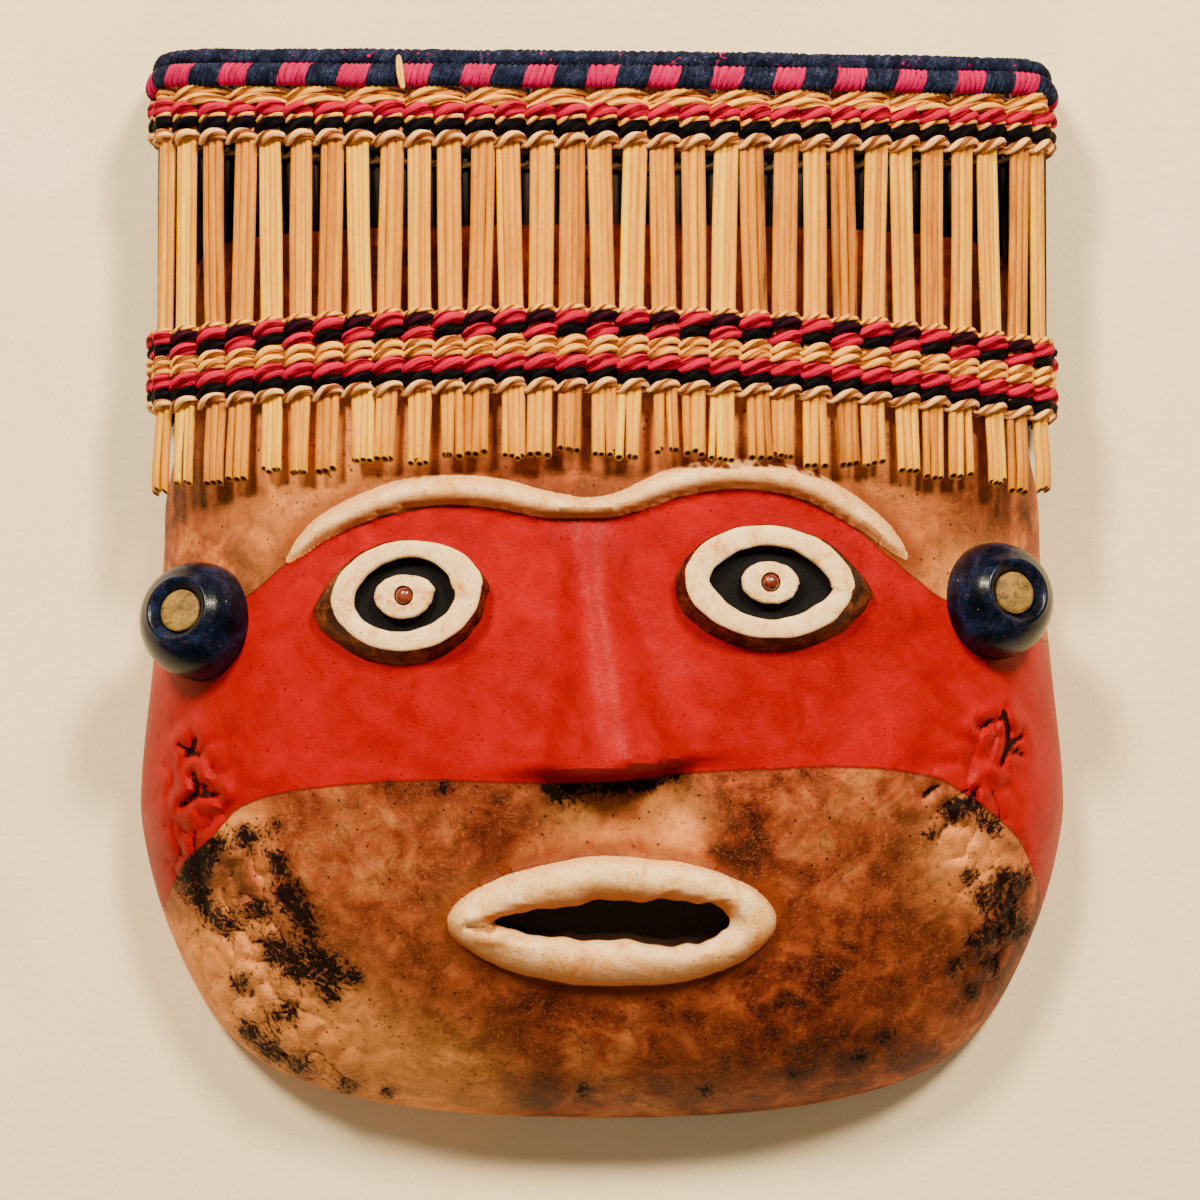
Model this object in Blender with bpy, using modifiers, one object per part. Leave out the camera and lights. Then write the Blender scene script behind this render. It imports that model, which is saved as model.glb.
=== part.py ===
"""Face mask cut from a gourd, with glued eyes, lacquered ear plugs and a twined reed crown.

The mask lies face up. X runs across the face, Y from the chin to the crown, Z out of the face.
Sizes are in millimetres and are turned into metres as the meshes are made. Heights along the
face are measured up from the chin, and the whole mask is moved at the end so that the middle of
its underside is the origin.
"""
import math

import bmesh
import bpy
import numpy as np
from mathutils import Matrix, Vector

MM = 0.001
GAP = 0.3

# Whole mask, measured up from the chin
MASK_LENGTH = 251.5

# Gourd shell: half of its outline from the chin to the cut top edge, as (half width, height)
SIDE_OUTLINE = [(0.0, 0.0), (24.0, 0.6), (43.0, 2.2), (59.0, 5.0), (74.3, 9.9), (86.0, 17.2),
                (95.3, 28.6), (104.2, 48.2), (109.2, 67.2), (109.8, 81.2), (107.0, 107.2),
                (104.6, 130.2), (103.6, 146.0), (99.8, 163.0), (98.5, 187.0), (96.5, 200.0)]
TOP_EDGE = [(88.0, 205.7), (60.0, 207.6), (0.0, 208.2)]
WALL = 5.0
DOME_HEIGHT = 58.0
DOME_MIDDLE = 117.0
DOME_TOP_FALL = 3.5
DOME_ROUND = 2.6
FOREHEAD_ROUND = 2.03
FOREHEAD_FROM = 112.0
FOREHEAD_TO = 152.0
DOME_FULL = 2.2
RIM_LIFT = 9.8
RIM_LIFT_FROM = 136.0
RIM_LIFT_TO = 160.0
SHELL_COLUMNS = 48
SHELL_RINGS = (0.0, 0.22, 0.42, 0.58, 0.71, 0.81, 0.885, 0.94, 0.973, 1.0)

# Relief on the gourd
BROW_LINE = [(-71.6, 132.4), (-62.4, 140.3), (-44.4, 147.3), (-26.5, 147.7), (-11.6, 144.7),
             (1.8, 144.4), (16.7, 149.8), (31.7, 151.7), (46.8, 149.1), (60.6, 141.1), (69.4, 133.1)]
BROW_HALF_WIDTH = 3.4
BROW_RISE = 4.0
NOSE_TOP = 143.0
NOSE_TIP = 91.0
NOSE_BASE = 85.4
NOSE_RISE = 17.5
NOSE_HALF_WIDTH = 16.0
NOSE_TOP_X = -4.5
NOSE_BASE_X = 3.0
MOUTH_AT = (2.2, 50.2)
LIP_OUTER = (37.4, 15.0)
MOUTH_HOLE = (26.8, 4.7)
MOUTH_CUT = 38.0
LIP_RISE = 5.0

# Eye plates: centre, half sizes of the top face, of the groove's outer edge and of the iris
EYES = {
    "left": {"at": (-44.6, 123.7), "outer": (17.4, 12.5), "groove": (11.5, 8.4), "iris": (6.7, 4.8),
             "turn": 8.0, "point": -1.0},
    "right": {"at": (37.6, 126.8), "outer": (19.0, 12.9), "groove": (12.6, 8.3), "iris": (6.2, 4.7),
              "turn": -4.0, "point": 1.0},
}
EYE_RISE = 5.4
EYE_GROOVE_DEPTH = 3.4
EYE_FLARE = 1.1
PUPIL_RADIUS = 1.95
PUPIL_RECESS = 1.5

# Ear plugs: centre of the dome, the way it faces, and its radius
PLUGS = {
    "left": {"at": (-92.9, 118.4, 36.0), "facing": (-0.37, 0.26, 0.89), "radius": 13.6},
    "right": {"at": (90.9, 123.0, 36.0), "facing": (0.43, 0.20, 0.88), "radius": 13.1},
}
PLUG_RIM = 7.6
PLUG_RISE = 11.4
INLAY_RADIUS = 4.9
PLUG_SINK = 14.0
PLUG_SIDES = 16

# Crown: the ring that the reeds stand in, seen from above
ARC_RADIUS = 182.0
ARC_HALF_CHORD = 98.5
FRONT_CORNER = 10.0
REAR_CORNER = 6.0
CLOSEST_X = 70.0
CLOSEST_HEIGHT = 47.4
FRONT_HEIGHT = CLOSEST_HEIGHT + ARC_RADIUS - math.sqrt(ARC_RADIUS ** 2 - CLOSEST_X ** 2)
FRONT_LEAN = 0.05
MID_BAND_HEIGHT = 180.0
BUNDLE_PITCH = 6.86
BUNDLES = 2 * (math.floor(ARC_HALF_CHORD / BUNDLE_PITCH) + 1) + 1
BUNDLE_HALF_WIDTH = 2.8
REED_RADIUS = 1.05
BUNDLE_END = 155.7
BUNDLE_END_DROP = 8.0
BACK_WALL_END = 164.0
BACK_WALL_GAP = 2.0
SIDE_DROP = 4.5
SIDE_RISE = 3.3
TILT = 1.1
MID_BAND = (171.8, 189.2)
BAND_OUTER = 2.7
CHANNEL_HALF = 1.4
TOP_ROLL_HEIGHT = 245.0
TOP_BAND = (TOP_ROLL_HEIGHT - 20.3, TOP_ROLL_HEIGHT - 7.4)
ROLL_STEP = 4.3
TOP_ROLL = (2.1, 2.1)
FRONT_ROLL_HEIGHT = TOP_ROLL_HEIGHT - ROLL_STEP
FRONT_ROLL = (1.75, 2.45)
ROLL_SIDES = 6
ROLL_FLAT = math.cos(math.pi / ROLL_SIDES)
REAR_HEIGHT = REED_RADIUS + GAP + FRONT_ROLL[0] * (1 + ROLL_FLAT)


def start_empty():
    """Remove the scene's objects and make the two collections."""
    for old in list(bpy.data.objects):
        bpy.data.objects.remove(old, do_unlink=True)
    made = {}
    for name in ("gourd_mask", "cutters"):
        made[name] = bpy.data.collections.new(name)
        bpy.context.scene.collection.children.link(made[name])
    return made


COLLECTIONS = start_empty()


def material(name, colour, roughness, coat=0.0):
    """A plain Principled material."""
    mat = bpy.data.materials.new(name)
    mat.use_nodes = True
    shader = mat.node_tree.nodes["Principled BSDF"]
    shader.inputs["Base Color"].default_value = (*colour, 1.0)
    shader.inputs["Roughness"].default_value = roughness
    shader.inputs["Coat Weight"].default_value = coat
    return mat


def add_object(name, verts, faces, mat=None, cutter=False, smooth=False):
    """Make a mesh object from points in millimetres, with all faces turned outward."""
    mesh = bpy.data.meshes.new(name)
    mesh.from_pydata([(x * MM, (y - MASK_LENGTH / 2) * MM, z * MM) for x, y, z in verts], [], faces)
    work = bmesh.new()
    work.from_mesh(mesh)
    bmesh.ops.recalc_face_normals(work, faces=work.faces)
    work.to_mesh(mesh)
    work.free()
    obj = bpy.data.objects.new(name, mesh)
    if smooth:
        mesh.shade_smooth()
        mesh.set_sharp_from_angle(angle=math.radians(40))
    if cutter:
        obj.hide_render = True
        obj.display_type = "WIRE"
        COLLECTIONS["cutters"].objects.link(obj)
    else:
        obj.data.materials.append(mat)
        COLLECTIONS["gourd_mask"].objects.link(obj)
    return obj


def boolean(obj, operation, other):
    """Add an exact Boolean modifier."""
    mod = obj.modifiers.new(operation.lower() + "_" + other.name, "BOOLEAN")
    mod.operation = operation
    mod.solver = "EXACT"
    mod.object = other


def smooth_line(points, steps):
    """Points along a Catmull-Rom curve through the given ones, with steps between each two."""
    pts = np.array(points, dtype=float)
    ends = np.vstack([2 * pts[0] - pts[1], pts, 2 * pts[-1] - pts[-2]])
    out = []
    for i in range(len(pts) - 1):
        a, b, c, d = ends[i:i + 4]
        for k in range(steps):
            t = k / steps
            out.append(0.5 * (2 * b + (c - a) * t + (2 * a - 5 * b + 4 * c - d) * t * t
                              + (3 * b - a - 3 * c + d) * t ** 3))
    out.append(pts[-1])
    return np.array(out)


def even_steps(line, count):
    """The given polyline resampled to count points at equal distances."""
    lengths = np.concatenate([[0], np.cumsum(np.linalg.norm(np.diff(line, axis=0), axis=1))])
    at = np.linspace(0, lengths[-1], count)
    return np.column_stack([np.interp(at, lengths, line[:, k]) for k in range(line.shape[1])])


SIDE_LINE = smooth_line(SIDE_OUTLINE, 8)


def half_width(y):
    """Half the gourd's width at height y."""
    return float(np.interp(y, SIDE_LINE[:, 1], SIDE_LINE[:, 0]))


def eased(y, start, end):
    """0 below start, 1 above end, with a smooth change between."""
    t = min(max((y - start) / (end - start), 0.0), 1.0)
    return t * t * (3 - 2 * t)


def rim_height(y):
    """Height of the gourd's edge over the ground: it lifts where the crown's back passes under."""
    return RIM_LIFT * eased(y, RIM_LIFT_FROM, RIM_LIFT_TO)


def middle_height(y):
    """Height of the gourd's outer face on the middle line."""
    if y < DOME_MIDDLE:
        t = (DOME_MIDDLE - y) / DOME_MIDDLE
        return DOME_HEIGHT * max(1 - t ** DOME_ROUND, 0.0) ** (1 / DOME_FULL)
    t = (y - DOME_MIDDLE) / (TOP_EDGE[-1][1] - DOME_MIDDLE)
    return DOME_HEIGHT - DOME_TOP_FALL * t * t


def face_height(x, y, inset=0.0):
    """Height of the bare gourd's face at a point, or of the inside when inset is the wall."""
    across = min(abs(x) / max(half_width(y), 0.001), 1.0)
    bulge = DOME_ROUND + (FOREHEAD_ROUND - DOME_ROUND) * eased(y, FOREHEAD_FROM, FOREHEAD_TO)
    full = max(1 - across ** bulge, 0.0) ** (1 / DOME_FULL)
    low = rim_height(y)
    middle = middle_height(y)
    return low + (middle - min(inset, middle) - low) * full


def shell_outline():
    """The gourd's closed outline, anticlockwise from the chin, at equal steps."""
    half = np.vstack([SIDE_LINE, smooth_line([SIDE_OUTLINE[-1]] + TOP_EDGE, 6)[1:]])
    other = half[::-1].copy()
    other[:, 0] *= -1
    return even_steps(np.vstack([half, other[1:]]), SHELL_COLUMNS + 1)[:-1]


def shell_rings(grow):
    """Rings of points over the gourd's face, from the middle to the edge.

    A positive grow moves the skin outward by that much, a negative one inward.
    """
    middle = np.array([0.0, DOME_MIDDLE - 10])
    outline = shell_outline()
    rings = []
    for part in SHELL_RINGS:
        ring = []
        for edge in outline:
            x, y = middle + part * (edge - middle)
            z = face_height(x, y, max(-grow, 0.0)) + max(grow, 0.0)
            low = min(max(1 - y / 70.0, 0.0), 1.0)
            ring.append((x * (1 + grow / 104.0), y - grow * low, z))
        rings.append(ring)
    return rings


def skin_faces(count_rings, first, columns=SHELL_COLUMNS):
    """Faces between rings of points, with a fan at the middle; first is the fan's point."""
    faces = []
    for j in range(columns):
        k = (j + 1) % columns
        faces.append((first, first + 1 + j, first + 1 + k))
        for r in range(1, count_rings - 1):
            a = first + 1 + (r - 1) * columns
            faces.append((a + j, a + columns + j, a + columns + k, a + k))
    return faces


def gourd_blank():
    """Points and faces of the bare gourd: outer skin, inner skin and the cut edge between."""
    outer = shell_rings(0.0)
    inner = shell_rings(-WALL)
    verts = [outer[0][0]] + [p for ring in outer[1:] for p in ring]
    start = len(verts)
    verts += [inner[0][0]] + [p for ring in inner[1:] for p in ring]
    faces = skin_faces(len(SHELL_RINGS), 0) + skin_faces(len(SHELL_RINGS), start)
    edge_out = start - SHELL_COLUMNS
    edge_in = len(verts) - SHELL_COLUMNS
    for j in range(SHELL_COLUMNS):
        k = (j + 1) % SHELL_COLUMNS
        faces.append((edge_out + j, edge_in + j, edge_in + k, edge_out + k))
    return verts, faces


def loft(name, sections, closed=False, **options):
    """A closed solid through equal-sized sections, joined in a loop when closed."""
    size = len(sections[0])
    verts = [p for section in sections for p in section]
    faces = []
    spans = len(sections) if closed else len(sections) - 1
    for i in range(spans):
        a = i * size
        b = (i + 1) % len(sections) * size
        for j in range(size):
            k = (j + 1) % size
            faces.append((a + j, a + k, b + k, b + j))
    if not closed:
        faces.append(tuple(range(size)))
        faces.append(tuple(len(verts) - size + j for j in range(size)))
    return add_object(name, verts, faces, **options)


RIDGE_SECTION = [(-1.0, 0.0), (-0.75, 0.62), (-0.3, 0.96), (0.3, 0.96), (0.75, 0.62), (1.0, 0.0),
                 (0.7, -0.6), (-0.7, -0.6)]


def ridge(name, line, widths, rises):
    """A rounded ridge lying along a line on the gourd's face."""
    sections = []
    for i in range(len(line)):
        before = line[max(i - 1, 0)]
        after = line[min(i + 1, len(line) - 1)]
        along = (after - before) / np.linalg.norm(after - before)
        section = []
        for u, v in RIDGE_SECTION:
            x = line[i][0] - along[1] * u * widths[i]
            y = line[i][1] + along[0] * u * widths[i]
            section.append((x, y, face_height(x, y) + v * rises[i]))
        sections.append(section)
    return loft(name, sections, cutter=True)


def brow():
    """The long wavy brow ridge, thinner at its two tips and over the nose."""
    count = 27
    line = even_steps(smooth_line(BROW_LINE, 6), count)
    t = np.linspace(-1, 1, count)
    taper = np.sqrt(np.clip(1.02 - np.abs(t) ** 6, 0.05, 1))
    dip = 1 - 0.28 * np.exp(-((line[:, 0] + 1.5) / 12.0) ** 2)
    return ridge("brow_ridge", line, BROW_HALF_WIDTH * taper * dip, BROW_RISE * taper)


def nose():
    """The nose: a ridge that widens and rises from between the brows to the wings."""
    sections = []
    stations = [NOSE_TOP, 132.0, 120.0, 108.0, 98.0, NOSE_TIP, NOSE_BASE + 1.6, NOSE_BASE]
    for y in stations:
        t = (NOSE_TOP - y) / (NOSE_TOP - NOSE_BASE)
        middle = NOSE_TOP_X + (NOSE_BASE_X - NOSE_TOP_X) * t
        wide = 4.5 + (NOSE_HALF_WIDTH - 4.5) * t ** 1.7
        rise = 2.0 + (NOSE_RISE - 2.0) * t ** 1.25
        if y < NOSE_TIP:
            rise *= 0.9 if y > NOSE_BASE else 0.35
        section = []
        for u, v in ((-1.0, 0.0), (-0.55, 0.42), (-0.26, 0.86), (0.0, 1.0), (0.26, 0.86), (0.55, 0.42),
                     (1.0, 0.0), (0.5, -0.12), (-0.5, -0.12)):
            x = middle + u * wide
            lift = v * rise if v >= 0 else -2.5
            section.append((x, y, face_height(x, y) + lift - (0.4 if v == 0 else 0.0)))
        sections.append(section)
    return loft("nose", sections, cutter=True)


def mouth_line(half_sizes, count):
    """Points round an oval with drawn-in corners, centred on the mouth."""
    out = []
    for k in range(count):
        a = 2 * math.pi * k / count
        x = half_sizes[0] * math.cos(a)
        y = half_sizes[1] * math.sin(a) * (0.72 + 0.28 * abs(math.sin(a)))
        out.append((MOUTH_AT[0] + x, MOUTH_AT[1] + y))
    return np.array(out)


def lips():
    """The raised ring round the mouth, between the slot and the lips' outer edge."""
    count = 28
    outer = mouth_line(LIP_OUTER, count)
    inner = mouth_line([size * 0.88 for size in MOUTH_HOLE], count)
    sections = []
    for far, near in zip(outer, inner):
        section = []
        for u, v in RIDGE_SECTION:
            x, y = near + (far - near) * (u + 1) / 2
            section.append((x, y, face_height(x, y) + v * LIP_RISE))
        sections.append(section)
    return loft("lips", sections, closed=True, cutter=True)


def mouth_cutter():
    """The slot cut through the mouth."""
    line = mouth_line(MOUTH_HOLE, 24)
    low = DOME_HEIGHT - MOUTH_CUT
    top = DOME_HEIGHT + LIP_RISE + MOUTH_CUT / 2
    return loft("mouth_slot", [[(x, y, low) for x, y in line], [(x, y, top) for x, y in line]], cutter=True)


def gourd_shell():
    """The gourd with its relief and the open mouth."""
    verts, faces = gourd_blank()
    mat = material("red_painted_gourd", (0.75, 0.03, 0.03), 0.4)
    shell = add_object("gourd_shell", verts, faces, mat, smooth=True)
    boolean(shell, "UNION", lips())
    boolean(shell, "DIFFERENCE", mouth_cutter())
    boolean(shell, "UNION", brow())
    boolean(shell, "UNION", nose())


def shell_room():
    """A solid a gap larger than the gourd, cut out of what is glued on its face."""
    rings = shell_rings(GAP)
    verts = [rings[0][0]] + [p for ring in rings[1:] for p in ring]
    faces = skin_faces(len(rings), 0)
    edge = len(verts) - SHELL_COLUMNS
    verts += [(x, y, min(z, 0.0) - 8.0) for x, y, z in rings[-1]]
    low = len(verts) - SHELL_COLUMNS
    for j in range(SHELL_COLUMNS):
        k = (j + 1) % SHELL_COLUMNS
        faces.append((edge + j, edge + k, low + k, low + j))
    faces.append(tuple(low + j for j in range(SHELL_COLUMNS)))
    return add_object("shell_room", verts, faces, cutter=True)


def face_frame(x, y):
    """A point on the gourd's face with its two tangents and its normal."""
    step = 6.0
    rise_x = (face_height(x + step, y) - face_height(x - step, y)) / (2 * step)
    rise_y = (face_height(x, y + step) - face_height(x, y - step)) / (2 * step)
    normal = Vector((-rise_x, -rise_y, 1)).normalized()
    right = Vector((1, 0, rise_x)).normalized()
    up = normal.cross(right)
    return Vector((x, y, face_height(x, y))), right, up, normal


def eye(side, room):
    """One eye plate with its groove and iris, and the bead in its middle."""
    spec = EYES[side]
    origin, right, up, normal = face_frame(*spec["at"])
    turn = math.radians(spec["turn"])
    count = 20

    def ring(sizes, height, point=0.0, scale=1.0):
        out = []
        for k in range(count):
            a = 2 * math.pi * k / count
            corner = max(math.cos(a) * spec["point"], 0.0) ** 8 * point
            u = sizes[0] * scale * math.cos(a) * (1 + corner)
            v = sizes[1] * scale * math.sin(a) * (1 - 0.1 * abs(math.cos(a)) * point * 5)
            s = u * math.cos(turn) - v * math.sin(turn)
            t = u * math.sin(turn) + v * math.cos(turn)
            out.append(tuple(origin + right * s + up * t + normal * height))
        return out

    hole = (PUPIL_RADIUS + GAP, PUPIL_RADIUS + GAP)
    sections = [ring(spec["outer"], -6.0, 0.12, EYE_FLARE + 0.06), ring(spec["outer"], 1.0, 0.12, EYE_FLARE),
                ring(spec["outer"], EYE_RISE - 0.8, 0.08), ring(spec["outer"], EYE_RISE, 0.08, 0.95),
                ring(spec["groove"], EYE_RISE, 0.04),
                ring(spec["groove"], EYE_RISE - EYE_GROOVE_DEPTH, 0.04, 0.97),
                ring(spec["iris"], EYE_RISE - EYE_GROOVE_DEPTH, 0.0, 1.03), ring(spec["iris"], EYE_RISE),
                ring(hole, EYE_RISE), ring(hole, EYE_RISE - PUPIL_RECESS)]
    mat = material("cream_eye_" + side, (0.85, 0.72, 0.58), 0.5)
    plate = loft("eye_" + side, sections, mat=mat)
    boolean(plate, "DIFFERENCE", room)

    low = EYE_RISE - PUPIL_RECESS + GAP
    turned("pupil_" + side, [(0, low + 2.1), (1.0, low + 1.9), (1.7, low + 1.3), (PUPIL_RADIUS, low + 0.7),
                             (PUPIL_RADIUS, low), (0, low)],
           origin, normal, 12, material("brown_bead_" + side, (0.22, 0.05, 0.02), 0.3))


def turned(name, profile, origin, facing, sides, mat, cutter=None):
    """A turned solid: a profile in millimetres swept round the way it faces by a Screw modifier."""
    mesh = bpy.data.meshes.new(name)
    points = [(r * MM, 0.0, h * MM) for r, h in profile]
    mesh.from_pydata(points, [(i, i + 1) for i in range(len(points) - 1)], [])
    obj = bpy.data.objects.new(name, mesh)
    obj.data.materials.append(mat)
    COLLECTIONS["gourd_mask"].objects.link(obj)
    place = Vector((origin[0] * MM, (origin[1] - MASK_LENGTH / 2) * MM, origin[2] * MM))
    spin = Vector((0, 0, 1)).rotation_difference(Vector(facing)).to_matrix().to_4x4()
    obj.matrix_world = Matrix.Translation(place) @ spin
    screw = obj.modifiers.new("turn", "SCREW")
    screw.steps = sides
    screw.render_steps = sides
    screw.use_merge_vertices = True
    screw.merge_threshold = 0.00001
    screw.use_smooth_shade = True
    if cutter:
        boolean(obj, "DIFFERENCE", cutter)
    return obj


def ear_plug(side, room):
    """One lacquered ear plug, hollowed in front for its inlay and fitted to the gourd behind."""
    spec = PLUGS[side]
    big = spec["radius"]
    floor = PLUG_RISE - 2.9
    profile = [(0, floor), (INLAY_RADIUS + GAP, floor), (INLAY_RADIUS + GAP, floor + 1.2),
               (6.6, PLUG_RISE - 0.5), (PLUG_RIM, PLUG_RISE), (8.6, PLUG_RISE - 0.6),
               (big * 0.8, 8.3), (big * 0.93, 5.2), (big, 1.4), (big, -1.0), (big * 0.93, -6.0),
               (big * 0.75, -PLUG_SINK), (0, -PLUG_SINK)]
    turned("ear_plug_" + side, profile, spec["at"], spec["facing"], PLUG_SIDES,
           material("blue_black_lacquer_" + side, (0.01, 0.02, 0.035), 0.2, 0.6), room)
    low = floor + GAP
    turned("plug_centre_" + side, [(0, low + 1.3), (INLAY_RADIUS * 0.7, low + 1.2), (INLAY_RADIUS, low + 0.8),
                                   (INLAY_RADIUS, low), (0, low)],
           spec["at"], spec["facing"], PLUG_SIDES, material("yellow_inlay_" + side, (0.45, 0.33, 0.1), 0.6))


ARC_ANGLE = math.asin(ARC_HALF_CHORD / ARC_RADIUS)
ARC_LENGTH = ARC_RADIUS * ARC_ANGLE
CORNER_LENGTH = FRONT_CORNER * (math.pi / 2 - ARC_ANGLE)
SIDE_X = ARC_HALF_CHORD - FRONT_CORNER * math.sin(ARC_ANGLE) + FRONT_CORNER
SIDE_LENGTH = 13.0
REAR_TURN = REAR_CORNER * math.pi / 2
REAR_HALF = SIDE_X - REAR_CORNER
RING_HALF = ARC_LENGTH + CORNER_LENGTH + SIDE_LENGTH + REAR_TURN + REAR_HALF


def ring_frame(s, y):
    """Point (x, z), outward normal and tangent on the crown's ring.

    s is the distance round the ring from the middle of the front; negative runs to the left.
    The front leans back a little towards the top, so its height depends on y.
    """
    front = FRONT_HEIGHT - FRONT_LEAN * (y - MID_BAND_HEIGHT)
    corner_z = front - ARC_RADIUS + (ARC_RADIUS - FRONT_CORNER) * math.cos(ARC_ANGLE)
    side = -1.0 if s < 0 else 1.0
    left = abs(s)
    if left <= ARC_LENGTH:
        a = left / ARC_RADIUS
        point = (ARC_RADIUS * math.sin(a), front - ARC_RADIUS * (1 - math.cos(a)))
    elif left <= ARC_LENGTH + CORNER_LENGTH:
        a = ARC_ANGLE + (left - ARC_LENGTH) / FRONT_CORNER
        point = (SIDE_X - FRONT_CORNER + FRONT_CORNER * math.sin(a), corner_z + FRONT_CORNER * math.cos(a))
    elif left <= ARC_LENGTH + CORNER_LENGTH + SIDE_LENGTH:
        a = math.pi / 2
        part = (left - ARC_LENGTH - CORNER_LENGTH) / SIDE_LENGTH
        point = (SIDE_X, corner_z + (REAR_HEIGHT + REAR_CORNER - corner_z) * part)
    elif left <= RING_HALF - REAR_HALF:
        a = math.pi / 2 + (left - ARC_LENGTH - CORNER_LENGTH - SIDE_LENGTH) / REAR_CORNER
        point = (SIDE_X - REAR_CORNER + REAR_CORNER * math.sin(a),
                 REAR_HEIGHT + REAR_CORNER + REAR_CORNER * math.cos(a))
    else:
        a = math.pi
        point = (RING_HALF - left, REAR_HEIGHT)
    return (side * point[0], point[1]), (side * math.sin(a), math.cos(a)), (math.cos(a), -side * math.sin(a))


def ring_point(s, y, out, along=0.0):
    """A point in space on the ring at height y, moved outward and along the ring."""
    (x, z), normal, tangent = ring_frame(s, y)
    return (x + out * normal[0] + along * tangent[0], y, z + out * normal[1] + along * tangent[1])


def top_rise(x):
    """How much higher the crown's top edge is at the sides, and its slight slope."""
    return SIDE_RISE * (x / SIDE_X) ** 2 - TILT * x / SIDE_X


def side_drop(x):
    """How much lower the band over the brow is at the sides, and its slight slope."""
    return -SIDE_DROP * (x / SIDE_X) ** 2 - TILT * x / SIDE_X


def bundle_place(i):
    """Distance round the ring of bundle i."""
    x = (i - (BUNDLES - 1) / 2) * BUNDLE_PITCH
    if abs(x) < ARC_HALF_CHORD:
        return ARC_RADIUS * math.asin(x / ARC_RADIUS)
    return math.copysign(ARC_LENGTH + CORNER_LENGTH * 0.55, x)


def bundle_shift(i, y):
    """Small lean of each bundle, so that they don't stand like a comb."""
    part = (y - MID_BAND[0]) / (TOP_BAND[0] - MID_BAND[0])
    return 0.45 * math.sin(i * 2.4 + 0.6) * (part - 0.5)


BUNDLE_SECTION = [(-1.0, 0.0), (-0.85, 0.75), (-0.62, 1.0), (-0.32, 0.45), (0.0, 1.0), (0.32, 0.45), (0.62, 1.0),
                  (0.85, 0.75), (1.0, 0.0), (0.62, -1.0), (0.0, -1.0), (-0.62, -1.0)]


def reed_bundle(i, mat):
    """One bundle of three reeds, from the crown's top edge to the cut ends over the brow."""
    s = bundle_place(i)
    x = ring_frame(s, MID_BAND_HEIGHT)[0][0]
    top = TOP_ROLL_HEIGHT + top_rise(x) - TOP_ROLL[1] - GAP
    end = BUNDLE_END - BUNDLE_END_DROP * (x / SIDE_X) ** 2 + 0.8 * math.sin(i * 1.9)
    sections = []
    for y in (end, MID_BAND_HEIGHT, top):
        sections.append([ring_point(s, y, v * REED_RADIUS, u * BUNDLE_HALF_WIDTH + bundle_shift(i, y))
                         for u, v in BUNDLE_SECTION])
    loft("reed_bundle_%02d" % (i + 1), sections, mat=mat)


def wall_places(count):
    """Distances round the ring, from one end of the back wall to the other, by way of the rear."""
    start = ARC_LENGTH + CORNER_LENGTH + BACK_WALL_GAP
    marks = [start, start + SIDE_LENGTH - BACK_WALL_GAP]
    marks += [marks[-1] + REAR_TURN * k / 3 for k in (1, 2, 3)]
    marks += [marks[-1] + REAR_HALF * k / count for k in range(1, count + 1)]
    return marks + [-m for m in marks[-2::-1]]


def crown_back(mat):
    """The crown's back wall and its two rounded sides, of close-set dark reeds."""
    outer = []
    inner = []
    for s in wall_places(6):
        x = ring_frame(s, MID_BAND_HEIGHT)[0][0]
        top = TOP_ROLL_HEIGHT + top_rise(x) - TOP_ROLL[1] - GAP
        outer.append((ring_point(s, BACK_WALL_END, REED_RADIUS), ring_point(s, top, REED_RADIUS)))
        inner.append((ring_point(s, BACK_WALL_END, -REED_RADIUS), ring_point(s, top, -REED_RADIUS)))
    sections = [[o[0], o[1], n[1], n[0]] for o, n in zip(outer, inner)]
    loft("crown_back", sections, mat=mat)


def band(name, heights, follow, mat):
    """A twined band round the crown, with a channel for each bundle and one for the back wall."""
    stations = []
    for i in range(BUNDLES):
        for along, inside in ((-1, True), (1, False)):
            stations.append((bundle_place(i), along * (BUNDLE_HALF_WIDTH + GAP), inside, i))
    places = wall_places(4)
    for n, s in enumerate(places):
        last = n == len(places) - 1
        extra = -0.4 if n == 0 else (0.4 if last else 0.0)
        stations.append((s, extra, not last, None))
    verts = []
    for s, along, _, i in stations:
        x = ring_frame(s, MID_BAND_HEIGHT)[0][0]
        for y in (heights[0] + follow(x), heights[1] + follow(x)):
            shift = along + (bundle_shift(i, y) if i is not None else 0.0)
            for out in (BAND_OUTER, CHANNEL_HALF, -CHANNEL_HALF, -BAND_OUTER):
                verts.append(ring_point(s, y, out, shift))
    faces = []
    count = len(stations)
    for n in range(count):
        a = n * 8
        b = (n + 1) % count * 8
        faces.append((a, b, b + 4, a + 4))
        faces.append((a + 3, a + 7, b + 7, b + 3))
        channel = stations[n][2]
        for low in (0, 4):
            levels = (0, 2) if channel else (0, 1, 2)
            for k in levels:
                faces.append((a + low + k, a + low + k + 1, b + low + k + 1, b + low + k))
        if channel:
            faces.append((a + 1, a + 5, b + 5, b + 1))
            faces.append((a + 2, b + 2, b + 6, a + 6))
        if channel != stations[n - 1][2]:
            faces.append((a + 1, a + 2, a + 6, a + 5))
    add_object(name, verts, faces, mat)


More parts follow.
